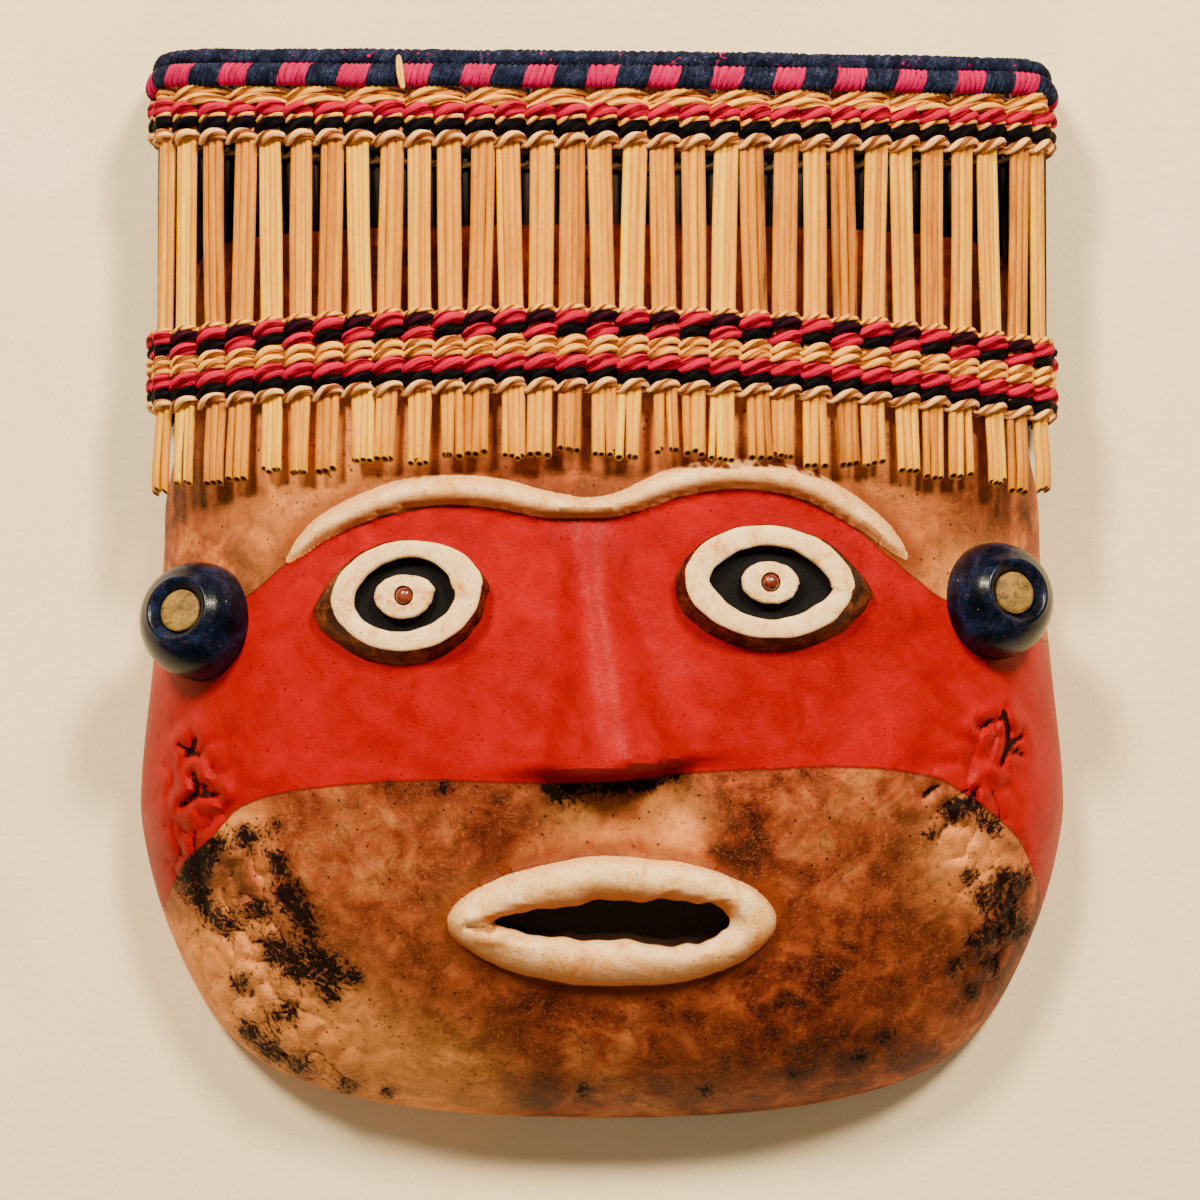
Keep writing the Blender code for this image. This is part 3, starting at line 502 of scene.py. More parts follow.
def gourd_finish():
    """Bare mottled gourd, red paint, cream paint on the ridges, burnt patches and creases, and painted
    shade: under the nose, in the folds at the foot of the ridges, on the ridges' edges and undersides, and
    inside the shell.
    """
    f = Finish("painted_gourd", ior=1.17)
    mm = f.place()
    broad = f.noise(mm, 34.0, 3.0, 0.55, 0.6)
    patches = f.noise(mm, 9.0, 5.0, 0.6, 0.8)
    grain = f.noise(mm, 1.6, 4.0, 0.6, 1.6)
    flecks = f.noise(mm, 3.6, 5.0, 0.65, 0.8)
    tone = broad * 0.42 + patches * 0.36 + flecks * 0.22
    bare = f.ramp(tone, [(0.405, (46, 15, 9)), (0.455, (98, 35, 18)), (0.50, (140, 60, 30)),
                         (0.545, (180, 86, 42)), (0.60, (220, 130, 66))])
    light = f.mark("light_zone")
    bare = f.mix(light * (patches * 1.7 - 0.05), bare, (246, 158, 80))
    bare = f.mix(f.mark("stain") * (flecks * 1.9 - 0.45), bare, (60, 21, 9))
    strokes = f.noise(mm, 2.6, 1.0, 0.4, 2.4)
    curl = (strokes - 0.5).size().over(0.035, 0.0)
    bare = f.mix(curl * 0.22, bare, (204, 136, 71))
    bare = f.mix((grain - 0.5).over(0.02, 0.2) * 0.5, bare, (85, 37, 16))
    pores = f.dots(mm, 3.1).over(0.13, 0.08)
    bare = f.mix(pores * 0.8, bare, (36, 14, 6))

    red = f.ramp(broad * 0.5 + patches * 0.5, [(0.35, (136, 0, 3)), (0.5, (158, 0, 4)),
                                                (0.65, (178, 0, 6))])
    red = f.mix(curl * 0.10, red, (190, 32, 32))
    specks = f.dots(mm, 4.3).over(0.085, 0.05)
    red = f.mix(specks * 0.7, red, (90, 4, 6))

    cream = f.ramp(patches * 0.6 + grain * 0.4, [(0.34, (206, 128, 62)), (0.44, (236, 178, 106)),
                                                  (0.55, (255, 212, 148)), (0.7, (255, 234, 188))])
    ridge_in = f.mark("brow_in").either(f.mark("lip_in"))
    # Painted shade, mottled, along the rounded edges of the cream brow and lips
    ridge_edge_shade = ridge_in.over(2.6, 0.1)
    cream = f.mix(ridge_edge_shade * patches.over(0.35, 0.6) * 0.7, cream, (214, 136, 74))
    # Painted shade on the undersides of the brow and lips and over the lower lip
    cream = f.mix(f.mark("shade") * 0.72, cream, (192, 104, 46))
    pits = f.dots(mm, 2.4).over(0.16, 0.09) * grain.over(0.45, 0.6)
    cream = f.mix(pits * 0.75, cream, (130, 80, 45))

    wobble = (patches - 0.5) * 2.4 + (grain - 0.5) * 1.2
    red_in = f.mark("red_in") + wobble * 0.5
    painted = red_in.over(-0.10, 0.10)
    ridge = (ridge_in + wobble * 0.35).over(-0.12, 0.12)
    colour = f.mix(painted, bare, red)
    edge_line = red_in.size().over(0.55, 0.0)
    colour = f.mix(edge_line * 0.75, colour, (80, 20, 10))
    # Painted shade, mottled, in the fold at the foot of the brow and lips, on the bare gourd only
    fold_shade = ridge_in.over(-6.0, -0.6) * (1 - painted)
    colour = f.mix(fold_shade * (patches * 1.5 - 0.05), colour, (112, 47, 16))
    colour = f.mix(ridge, colour, cream)

    jag = f.noise(mm, 3.0, 7.0, 0.74, 1.8)
    nets = f.noise(mm, 1.3, 6.0, 0.7, 1.4)
    # Black burns, and under the nose black nostrils with painted shadow under the tip
    burn = (f.mark("burn") * 0.27 + jag * 0.85 + nets * 0.35).over(0.83, 0.86) * (1 - painted * 0.8)
    soot = (f.mark("burn") * 0.5 + jag).over(0.62, 0.95) * 0.6 * (1 - painted)
    gap = (f.mark("crease") + (grain - 0.5) * 1.6).over(0.75, 0.15) * f.mark("pucker").over(0.35, 0.75)
    gap = gap * (jag + f.mark("burn") * 0.3).over(0.54, 0.72)
    colour = f.mix(soot, colour, (60, 26, 14))
    split = (f.mark("crack") + (grain - 0.5) * 1.4 + (jag - 0.5) * 1.2).over(0.75, 0.35) * (1 - ridge * 0.5)
    black = burn.either(gap.either(split))
    colour = f.mix(black * 0.97, colour, (12, 6, 5))
    # Painted shade inside the shell
    colour = f.mix(f.mark("hollow"), colour, (35, 17, 8))

    rough = 0.46 - painted * 0.08 + (grain - 0.5) * 0.2 - ridge * 0.10 + burn * 0.2
    height = grain * 0.35 + patches * 0.4 + curl * 0.16 - pores * 0.5 - black * 0.8 - pits * ridge * 0.5
    return f.finished(colour, rough, height, 0.00022)


LIGHT = [(-84, 72, 7), (-90, 40, 14), (-78, 26, 18), (-62, 12, 20), (-6, 76, 7), (-36, 5, 12), (-70, 20, 16),
         (84, 64, 12), (-60, 160, 30), (40, 165, 34), (-36, 8, 14), (86, 126, 10), (-30, 52, 7), (16, 74, 7)]
STAINED = [(-58, 68, 20), (-40, 60, 22), (-36, 38, 16), (-18, 76, 10), (-56, 48, 16), (10, 22, 22),
           (-14, 20, 20), (62, 26, 14), (74, 40, 14), (60, 78, 10), (30, 8, 18), (54, 58, 17), (96, 40, 14),
           (0, 84, 12), (40, 66, 10), (64, 60, 14), (-30, 72, 14), (86, 150, 16), (-90, 150, 12)]
GRID, MARKS = gourd_grid()
FLAT_X, FLAT_Y = GRID[..., 0], GRID[..., 1]
MARKS["red_in"] = np.minimum(np.interp(FLAT_X, RED_ABOVE[:, 0], RED_ABOVE[:, 1]) - FLAT_Y,
                             FLAT_Y - np.interp(FLAT_X, RED_BELOW[:, 0], RED_BELOW[:, 1]))
MARKS["light_zone"] = np.clip(spots(FLAT_X, FLAT_Y, LIGHT), 0, 1)
MARKS["stain"] = np.clip(spots(FLAT_X, FLAT_Y, STAINED), 0, 1)
# Painted shade: the whole inside of the shell, seen through the mouth slot, is coloured dark brown
INSIDE = np.arange(len(GRID))[:, None] >= LIP_ROWS + FACE_ROWS
MARKS["hollow"] = np.where(INSIDE, 1.0, 0.0) * np.ones_like(FLAT_X)
piece("gourd_shell_carved", [GRID], gourd_finish(), ["gourd_shell"], loop=True, marks=MARKS,
      crease_angle=50)


# The eyes. Each is a pointed oval cut from gourd and glued on, with slanting brown sides, a cream
# ring, a groove painted black and a cream iris; a small polished bead sits in the iris.
EYES = {
    "left": {"at": (-44.6, 123.7), "outer": (17.4, 12.5), "groove": (11.5, 8.4), "iris": (6.7, 4.8),
             "turn": 8.0, "point": -1.0, "shift": (1.9, 0.5), "almond": 0.0},
    "right": {"at": (37.6, 126.8), "outer": (19.0, 12.9), "groove": (12.6, 8.3), "iris": (6.2, 4.7),
              "turn": -4.0, "point": 1.0, "shift": (-1.0, 0.3), "almond": 0.12},
}
EYE_RISE = 5.4
GROOVE_DEPTH = 3.4
EYE_COLUMNS = 120
SEAT_DEPTH = 1.2
BEAD_RADIUS = 1.95
# The rings of an eye plate, from its side over the ring, the groove and the iris into the bead's seat:
# outline, level, height above that level, pull to a point, scale, unevenness, share of the shift,
# almond shape, and how cream and how black it is
EYE_RINGS = [
    ("outer", "gourd", 3.888, 0.06, 1.035, 1.3, 0.6, 0, 0, 0),
    ("outer", "top", -0.75, 0.03, 1, 1, 0.9, 0, 0, 0),
    ("outer", "top", -0.22, 0.02, 0.985, 1, 1, 0, 1, 0),
    ("outer", "top", 0, 0.02, 0.955, 1, 1, 0, 1, 0),
    ("outer", "top", 0.12, 0.02, 0.87, 0.6, 0.8, 0, 1, 0),
    ("groove", "top", 0.1, 0.04, 1.12, -0.6, 0.5, 1, 1, 0),
    ("groove", "top", -0.05, 0.04, 1.04, -1.2, 0.5, 1, 1, 0),
    ("groove", "top", -0.35, 0.04, 1, -1.6, 0.5, 1, 1, 0.3),
    ("groove", "floor", 0.3, 0.04, 0.97, -1.2, 0.5, 1, 0, 1),
    ("groove", "floor", 0, 0.04, 0.93, 1, 0.5, 0, 0, 1),
    ("iris", "floor", 0, 0, 1.12, 1, 0.5, 0, 0, 1),
    ("iris", "floor", 0.3, 0, 1.05, 1.6, 0.5, 0, 0, 1),
    ("iris", "rise", -0.6, 0, 1.02, 2.2, 0.5, 0, 1, 0.3),
    ("iris", "rise", -0.15, 0, 0.97, 2.2, 0.5, 0, 1, 0),
    ("iris", "rise", 0, 0, 0.88, 1.6, 0.5, 0, 1, 0),
    ("seat", "rise", 0.05, 0, 2.35, 1, 0.5, 0, 1, 0),
    ("seat", "rise", -0.2, 0, 2.2, 1, 0.5, 0, 0.6, 0.4),
    ("seat", "rise", -1.4, 0, 2.1, 1, 0.5, 0, 0, 1)]


def face_frame(x, y):
    """A point on the bare face with its two tangents and its normal, from slopes over 12 mm."""
    step = 6.0
    rise_x = float(bare_face(x + step, y) - bare_face(x - step, y)) / (2 * step)
    rise_y = float(bare_face(x, y + step) - bare_face(x, y - step)) / (2 * step)
    normal = np.array([-rise_x, -rise_y, 1]) / math.sqrt(rise_x ** 2 + rise_y ** 2 + 1)
    right = np.array([1, 0, rise_x]) / math.hypot(1, rise_x)
    return np.array([x, y, float(bare_face(x, y))]), right, np.cross(normal, right), normal


def eye_finish():
    """Cream paint with small nicks on top, brown gourd on the sides, black in the groove."""
    f = Finish("cream_gourd", ior=1.3)
    mm = f.place()
    patches = f.noise(mm, 5.0, 4.0, 0.6, 0.8)
    grain = f.noise(mm, 0.9, 4.0, 0.6, 1.2)
    cream = f.ramp(patches * 0.55 + grain * 0.45, [(0.36, (216, 136, 72)), (0.46, (246, 196, 128)),
                                                    (0.58, (255, 222, 166))])
    nicks = f.dots(mm, 1.9).over(0.15, 0.08) * patches.over(0.48, 0.6)
    cream = f.mix(nicks * 0.8, cream, (120, 66, 36))
    brown = f.ramp(patches * 0.6 + grain * 0.4, [(0.4, (36, 13, 7)), (0.5, (79, 33, 13)),
                                                  (0.6, (131, 64, 26))])
    top = (f.mark("top") + (patches - 0.5) * 0.5 + (grain - 0.5) * 0.3).over(0.42, 0.58)
    dark = f.mark("groove")
    colour = f.mix(top, brown, cream)
    colour = f.mix((dark + (grain - 0.5) * 0.25).over(0.4, 0.6), colour, (4, 2, 2))
    rough = 0.45 + (grain - 0.5) * 0.25 + dark * 0.4
    return f.finished(colour, rough, grain * 0.4 + patches * 0.6 - nicks * 0.5, 0.00016)


def eye_plate(side, material):
    """Rings of points, x = A cos a and y = B sin a, turned, drawn to a corner and laid on the face.

    They run from the base up the side, over the ring, down the groove and over the iris.
    """
    spec = EYES[side]
    origin, right, up, normal = face_frame(*spec["at"])
    turn = math.radians(spec["turn"])
    a = circle(EYE_COLUMNS)
    seed = 11 if side == "left" else 12
    uneven = 1 + 0.012 * waves(a * 9, a * 0, 14.0, seed) + 0.006 * waves(a * 9, a * 0, 4.0, seed + 5)

    def ring(sizes, height, point, scale, wander, moved, almond=0, drop=0.0):
        """One ring of points, with its height over the face along the face's normal."""
        corner = np.clip(np.cos(a) * spec["point"], 0, 1) ** 8 * point
        corner = corner + np.abs(np.cos(a)) ** 8 * almond * spec["almond"]
        u = sizes[0] * scale * np.cos(a) * (1 + corner)
        v = sizes[1] * scale * np.sin(a) * (1 - 0.5 * np.abs(np.cos(a)) * point)
        u, v = (w * (1 + (uneven - 1) * wander) for w in (u, v))
        s = u * math.cos(turn) - v * math.sin(turn) + spec["shift"][0] * moved
        t = u * math.sin(turn) + v * math.cos(turn) + spec["shift"][1] * moved - drop
        lift = np.broadcast_to(height, a.shape)
        return origin + right * s[:, None] + up * t[:, None] + normal * lift[:, None]

    base = ring(spec["outer"], -1.0, 0.12, 1.11, 1.5, 0.0, drop=1.3)
    base[:, 2] = bare_face(base[:, 0], base[:, 1]) - 0.25
    low = ring(spec["outer"], 1.0, 0.12, 1.07, 1.5, 0.1, drop=1.0)
    low[:, 2] = np.maximum(low[:, 2], base[:, 2] + 0.9)
    levels = {"gourd": 0.0, "floor": EYE_RISE - GROOVE_DEPTH, "rise": EYE_RISE,
              "top": EYE_RISE + 0.10 * waves(a * 9, a * 0, 12.0, seed + 9)}
    rows, marks = [base, low], [(0, 0), (0, 0)]
    for outline, level, above, point, scale, wander, moved, almond, cream, black in EYE_RINGS:
        sizes = spec.get(outline, (1.0, 1.0))
        rows.append(ring(sizes, levels[level] + above, point, scale, wander, moved, almond))
        marks.append((cream, black))
    cream, black = np.repeat(np.array(marks, dtype=float), EYE_COLUMNS, axis=0).T
    piece("eye_plate_" + side, [np.stack(rows)], material, ["eye_" + side],
          marks={"top": cream, "groove": black}, crease_angle=60)
    return origin + right * spec["shift"][0] * 0.5 + up * spec["shift"][1] * 0.5, normal


def turned(origin, facing, profile, columns):
    """A profile of (radius, height) points carried round the way it faces."""
    facing = np.array(facing) / np.linalg.norm(facing)
    right = np.cross([0, 1, 0], facing)
    right = right / np.linalg.norm(right)
    up = np.cross(facing, right)
    a = circle(columns)
    out = np.outer(np.cos(a), right) + np.outer(np.sin(a), up)
    profile = np.array(profile)
    return np.array(origin) + profile[:, 0, None, None] * out[None] + profile[:, 1, None, None] * facing


def bead_finish():
    """A dark brown polished bead."""
    f = Finish("brown_bead", coat_weight=0.5)
    blotch = f.noise(f.place(), 1.2, 3.0, 0.6)
    colour = f.ramp(blotch, [(0.35, (58, 16, 8)), (0.6, (128, 50, 26))])
    return f.finished(colour, 0.22 + blotch * 0.15, blotch, 0.00005)


CREAM = eye_finish()
BEAD = bead_finish()
for side in ("left", "right"):
    place, out = eye_plate(side, CREAM)
    low = EYE_RISE - SEAT_DEPTH
    t = np.linspace(0, np.pi / 2, 10)
    dome = [(BEAD_RADIUS * math.cos(v) + 0.001, low + 0.7 + 1.4 * math.sin(v)) for v in t]
    bead = turned(place, out, [(0.01, low), (BEAD_RADIUS, low)] + dome, 40)
    piece("pupil_bead_" + side, [bead], BEAD, ["pupil_" + side], crease_angle=60)


# The ear plugs. Each is a turned dome in blue-black lacquer with a hollowed rim in front, and a
# pale yellow disc let into the hollow; the back is fitted to the curve of the gourd.
PLUGS = {
    "left": {"at": (-92.9, 118.4, 36.0), "facing": (-0.37, 0.26, 0.89), "radius": 13.6},
    "right": {"at": (90.4, 123.0, 36.0), "facing": (0.40, 0.20, 0.89), "radius": 13.5},
}
PLUG_RISE = 11.4
HOLLOW_DEPTH = 2.9
HOLLOW_RADIUS = 4.9
RIM_ROUND = 0.9
SHANK = 16.0
PLUG_COLUMNS = 96
INLAY_COLUMNS = 72


def lacquer_finish():
    """Deep blue-black lacquer with brownish wear, fine scratches and small bright chips."""
    f = Finish("blue_black_lacquer", ior=1.25, coat_weight=0.09, coat_roughness=0.10)
    mm = f.place()
    cloud = f.noise(mm, 7.0, 4.0, 0.6, 0.6)
    fine = f.noise(mm, 0.8, 4.0, 0.6, 1.0)
    colour = f.ramp(cloud, [(0.35, (2, 4, 9)), (0.52, (4, 14, 32)), (0.68, (12, 34, 64))])
    strokes = f.noise(mm, 1.9, 1.0, 0.4, 2.2)
    scratch = (strokes - 0.5).size().over(0.012, 0.0) * cloud.over(0.42, 0.6)
    colour = f.mix(scratch * 0.4, colour, (150, 96, 84))
    chips = f.dots(mm, 2.3).over(0.075, 0.045) * fine.over(0.5, 0.62)
    colour = f.mix(chips * 0.8, colour, (210, 170, 140))
    return f.finished(colour, 0.16 + fine * 0.2, fine * 0.4 + strokes * 0.3 - chips * 0.3, 0.00010)


def inlay_finish():
    """Pale yellow cork-like inlay with dark pits and scratches."""
    f = Finish("yellow_inlay", specular_ior_level=0.35)
    mm = f.place()
    cloud = f.noise(mm, 2.6, 4.0, 0.65, 0.8)
    fine = f.noise(mm, 0.45, 3.0, 0.6, 1.4)
    colour = f.ramp(cloud * 0.6 + fine * 0.4, [(0.36, (57, 39, 13)), (0.46, (113, 82, 28)),
                                                (0.60, (153, 120, 51))])
    pits = f.dots(mm, 1.5).over(0.15, 0.1) * cloud.over(0.42, 0.5)
    colour = f.mix(pits * 0.9, colour, (40, 26, 14))
    return f.finished(colour, 0.55 + fine * 0.15, fine * 0.7 - pits, 0.00012)


def plug_grid(spec):
    """The plug's turned front, and a back that runs down along its own sides until it meets the gourd."""
    big = spec["radius"]
    floor = PLUG_RISE - HOLLOW_DEPTH
    rim = [(7.25 + RIM_ROUND * math.sin(v), PLUG_RISE - RIM_ROUND + RIM_ROUND * math.cos(v))
           for v in np.linspace(-0.9, 0.95, 7)]
    hollow = [(0.01, floor), (HOLLOW_RADIUS, floor), (5.2, floor + 0.15), (5.35, floor + 1.0),
              (5.8, floor + 1.6)]
    dome = [(big * math.sqrt(max(1 - (h / (big * 1.02)) ** 2, 0)), h) for h in np.linspace(10.2, 0.3, 18)]
    front = turned(spec["at"], spec["facing"], hollow + rim + dome, PLUG_COLUMNS)
    h = -np.linspace(0, SHANK, 161)
    r = big * (1 - 0.25 * (h / 14.0) ** 2)
    back = turned(spec["at"], spec["facing"], np.column_stack([r, h]), PLUG_COLUMNS)
    under = back[..., 2] < bare_face(back[..., 0], back[..., 1]) - 0.2
    under[-1] = True
    stop = np.argmax(under, axis=0)
    share = np.linspace(0, 1, 9)[1:, None]
    take = np.round(share * stop[None]).astype(int)
    return np.concatenate([front, back[take, np.arange(PLUG_COLUMNS)[None]]])


LACQUER = lacquer_finish()
INLAY = inlay_finish()
for side, spec in PLUGS.items():
    piece("ear_plug_turned_" + side, [plug_grid(spec)], LACQUER, ["ear_plug_" + side],
          crease_angle=55)
    base = PLUG_RISE - HOLLOW_DEPTH + 0.3
    disc = [(0.01, base), (HOLLOW_RADIUS, base), (4.92, base + 0.7), (4.7, base + 0.95), (4.0, base + 1.1),
            (2.2, base + 1.25), (0.01, base + 1.3)]
    piece("plug_inlay_" + side, [turned(spec["at"], spec["facing"], disc, INLAY_COLUMNS)], INLAY,
          ["plug_centre_" + side], crease_angle=50)


# The reeds. Thin dried reeds in bundles of three or four stand round the crown's front, held by the
# bands, with cut hollow ends over the brow; reeds set close close the ring behind, coloured near black
# as painted shade for the dark inside of the crown.
ARC_RADIUS = 182.0
ARC_HALF_CHORD = 98.5
FRONT_CORNER = 10.0
REAR_CORNER = 6.0
REED_RADIUS = 1.05
ROLL_RADIUS = 1.75
ROLL_GAP = 0.3
ROLL_OUT = REED_RADIUS + ROLL_GAP + ROLL_RADIUS
REAR_HEIGHT = REED_RADIUS + ROLL_GAP + ROLL_RADIUS * (1 + math.cos(math.pi / 6))
FRONT_HEIGHT = 61.4
FRONT_LEAN = 0.05
BAND_PLACE = 180.0
CROWN_TOP = 245.0
SIDE_LENGTH = 13.0
ARC_ANGLE = math.asin(ARC_HALF_CHORD / ARC_RADIUS)
ARC_LENGTH = ARC_RADIUS * ARC_ANGLE
CORNER_LENGTH = FRONT_CORNER * (math.pi / 2 - ARC_ANGLE)
SIDE_X = ARC_HALF_CHORD - FRONT_CORNER * math.sin(ARC_ANGLE) + FRONT_CORNER
REAR_TURN = REAR_CORNER * math.pi / 2
REAR_HALF = SIDE_X - REAR_CORNER
RING_HALF = ARC_LENGTH + CORNER_LENGTH + SIDE_LENGTH + REAR_TURN + REAR_HALF
BUNDLES = 31
BUNDLE_PITCH = 6.86
BUNDLE_HALF = 2.8


def ring_frame(s, y=BAND_PLACE):
    """Plan of the crown's ring at distance s round it from the middle of its front: x, z, outward normal.

    It is a wide front arc, a tight corner, a short straight side, a rear corner and a straight rear.
    """
    s, y = np.broadcast_arrays(np.asarray(s, dtype=float), np.asarray(y, dtype=float))
    s = (s + RING_HALF) % (2 * RING_HALF) - RING_HALF
    side = np.where(s < 0, -1.0, 1.0)
    left = np.abs(s)
    front = FRONT_HEIGHT - FRONT_LEAN * (y - BAND_PLACE)
    corner_z = front - ARC_RADIUS + (ARC_RADIUS - FRONT_CORNER) * math.cos(ARC_ANGLE)
    marks = np.cumsum([ARC_LENGTH, CORNER_LENGTH, SIDE_LENGTH, REAR_TURN])
    zone = np.digitize(left, marks)
    flat = 0 * left
    a = np.choose(zone, [left / ARC_RADIUS, ARC_ANGLE + (left - marks[0]) / FRONT_CORNER, math.pi / 2 + flat,
                         math.pi / 2 + (left - marks[2]) / REAR_CORNER, math.pi + flat])
    share = (left - marks[1]) / SIDE_LENGTH
    x = np.choose(zone, [ARC_RADIUS * np.sin(a), SIDE_X - FRONT_CORNER + FRONT_CORNER * np.sin(a),
                         SIDE_X + flat, SIDE_X - REAR_CORNER + REAR_CORNER * np.sin(a), RING_HALF - left])
    rear_z = REAR_HEIGHT + REAR_CORNER
    z = np.choose(zone, [front - ARC_RADIUS * (1 - np.cos(a)), corner_z + FRONT_CORNER * np.cos(a),
                         corner_z + (rear_z - corner_z) * share, rear_z + REAR_CORNER * np.cos(a),
                         REAR_HEIGHT + flat])
    return side * x, z, side * np.sin(a), np.cos(a)


def ring_point(s, y, out):
    """Points at distance s round the ring, at height y, moved outward."""
    x, z, nx, nz = ring_frame(s, y)
    return np.stack([x + out * nx, y + 0 * x, z + out * nz], axis=-1)


RISE, DROP, SLOPE = 3.3, 4.5, 1.1


def top_rise(x):
    """How much higher the crown's top edge is at its sides, and its slight slope."""
    return RISE * (x / SIDE_X) ** 2 - SLOPE * x / SIDE_X


def side_drop(x):
    """How much lower the band over the brow is at its sides, and its slight slope."""
    return -DROP * (x / SIDE_X) ** 2 - SLOPE * x / SIDE_X


BUNDLE_X = (np.arange(BUNDLES) - (BUNDLES - 1) / 2) * BUNDLE_PITCH
BUNDLE_S = np.where(np.abs(BUNDLE_X) < ARC_HALF_CHORD,
                    ARC_RADIUS * np.arcsin(np.clip(BUNDLE_X / ARC_RADIUS, -1, 1)),
                    np.sign(BUNDLE_X) * (ARC_LENGTH + CORNER_LENGTH * 0.40))


HELD_LOW, HELD_HIGH = 171.8, 224.7


def bundle_shift(i, y):
    """Small lean of each bundle, so that they don't stand like a comb: straight from band to band."""
    return 1.3 * math.sin(i * 2.4 + 0.6) * ((y - HELD_LOW) / (HELD_HIGH - HELD_LOW) - 0.5)


def reed_finish(name, stops, dark, gloss):
    """Dry reed: long pale and dark streaks, small specks, and painted shade inside the hollow cut ends,
    fading over their rims.
    """
    f = Finish(name, specular_ior_level=gloss)
    fibre = f.mark("fibre", "Vector")
    streak = f.noise(f.place((0.05, 1.6, 1.6), fibre), 1.0, 3.0, 0.6)
    fine = f.noise(f.place((0.16, 5.0, 5.0), fibre), 1.0, 2.0, 0.5)
    blotch = f.noise(f.place((0.09, 0.5, 0.5), fibre), 1.0, 3.0, 0.6)
    tone = f.mark("tint") * 0.42 + streak * 0.3 + fine * 0.16 + blotch * 0.3 - 0.08
    colour = f.ramp(tone, stops)
    specks = f.dots(f.place((0.35, 1.0, 1.0), fibre), 1.0).over(0.17, 0.08) * blotch.over(0.5, 0.62)
    colour = f.mix(specks * 0.7, colour, dark)
    # Painted shade inside the hollow cut ends, fading over the rim
    colour = f.mix(f.mark("cut"), colour, dark)
    return f.finished(colour, 0.40 + fine * 0.15, streak * 0.6 + fine * 0.5 - specks * 0.4, 0.00014)


REED_SIDES = 12


def reed(path, radius, turn):
    """A thin tube along a path of points, slightly flattened, with hollow cut ends.

    Rows run from inside one cut end, out over its rim, along the reed and into the other end.
    """
    first, last = path[0], path[-1]
    along = (last - first) / np.linalg.norm(last - first)
    out = np.array([math.sin(turn), 0, math.cos(turn)])
    side = np.cross(along, out)
    side /= np.linalg.norm(side)
    out = np.cross(side, along)
    a = circle(REED_SIDES)
    ring = np.outer(np.cos(a), out) * 0.94 + np.outer(np.sin(a), side)
    share = [(0.42, 1.2), (0.46, 0.25), (0.85, 0.0), (1.0, 0.14)]
    slant = 0.75 * radius * np.cos(a)[:, None] * along
    rows = [first + along * deep + (ring * radius + slant) * wide for wide, deep in share]
    rows += [p + ring * radius for p in path[1:-1]]
    rows += [last - along * deep + ring * radius * wide for wide, deep in share[::-1]]
    grid = np.stack(rows)
    cut_mark = np.array([1.0, 1.0, 0.55, 0.0] + [0.0] * (len(path) - 2) + [0.0, 0.55, 1.0, 1.0])
    section = np.outer(np.cos(a), [0, 1, 0]) + np.outer(np.sin(a), [0, 0, 1])
    return grid, np.repeat(cut_mark, REED_SIDES), section


def reeds_piece(name, reeds, material, nodes):
    """One object from several reeds, each (path, radius, turn, tint, offset), with fibre and tint marks."""
    grids, cuts, fibres, tints = [], [], [], []
    for path, radius, turn, tint, offset in reeds:
        grid, cut, section = reed(path, radius, turn)
        grids.append(grid)
        cuts.append(cut)
        along = grid[..., 1:2] * np.array([1.0, 0, 0])
        fibres.append((along + section[None] * radius + offset).reshape(-1, 3))
        tints.append(np.full(grid.shape[0] * grid.shape[1], tint))
    marks = {"fibre": np.concatenate(fibres), "tint": np.concatenate(tints), "cut": np.concatenate(cuts)}
    piece(name, grids, material, nodes, marks=marks, crease_angle=50)


TAN_STOPS = [(0.22, (96, 46, 10)), (0.36, (186, 108, 4)), (0.5, (218, 140, 0)),
             (0.64, (240, 176, 0)), (0.80, (250, 206, 16))]
TAN_REED = reed_finish("tan_reed", TAN_STOPS, (74, 36, 14), 0.25)
RNG = np.random.default_rng(7)
REED_COUNTS = [3, 4, 3, 3, 4, 4, 3, 4, 3, 4, 3, 3, 4, 3, 4, 4, 3, 4, 3, 4, 3, 4, 3, 3, 4, 3, 4, 3, 4, 3, 3]
REED_SIZES = {3: 1.0, 4: 0.86}
REED_END, REED_END_DROP = 155.7, 8.0
BUNDLE_TONE = 0.50 + 0.21 * np.sin(np.arange(BUNDLES) * 2.1) + RNG.uniform(-0.12, 0.12, BUNDLES)
for i in range(BUNDLES):
    s = BUNDLE_S[i]
    x = float(ring_frame(s)[0])
    top = CROWN_TOP + top_rise(x) - 2.4
    end = REED_END - REED_END_DROP * (x / SIDE_X) ** 2 + 0.8 * math.sin(i * 1.9)
    count = REED_COUNTS[i]
    radius = REED_SIZES[count]
    reeds = []
    for k in range(count):
        offset = (k - (count - 1) / 2) * (2 * BUNDLE_HALF - 2 * radius) / (count - 1)
        splay = RNG.uniform(-0.6, 0.6)
        stop = end + RNG.uniform(-0.1, 0.9)
        ys = np.array([stop, stop + 6, 168.0, BAND_PLACE, 192.0, 207.0, 222.0, 235.0, top])
        lean = splay * np.clip((172.0 - ys) / 16.0, 0, 1)
        lean = lean + RNG.uniform(-0.25, 0.25) * np.sin((ys - 185) / 40 * np.pi)
        depth = RNG.uniform(-0.22, 0.12) + 0.15 * (k % 2)
        flare = 1.1 * np.clip((171.0 - ys) / 16.0, 0, 1) ** 1.5
        path = np.array([ring_point(s + offset + bundle_shift(i, y) + bend, y, depth + away)
                         for y, bend, away in zip(ys, lean, flare)])
        size = radius * RNG.uniform(0.92, 1.04)
        tint = float(np.clip(BUNDLE_TONE[i] + RNG.uniform(-0.22, 0.22), 0.05, 1.0))
        nx, nz = (float(v) for v in ring_frame(s)[2:])
        reeds.append((path, size, math.atan2(nx, nz), tint, RNG.uniform(0, 90, 3)))
    reeds_piece("reeds_%02d" % (i + 1), reeds, TAN_REED, ["reed_bundle_%02d" % (i + 1)])
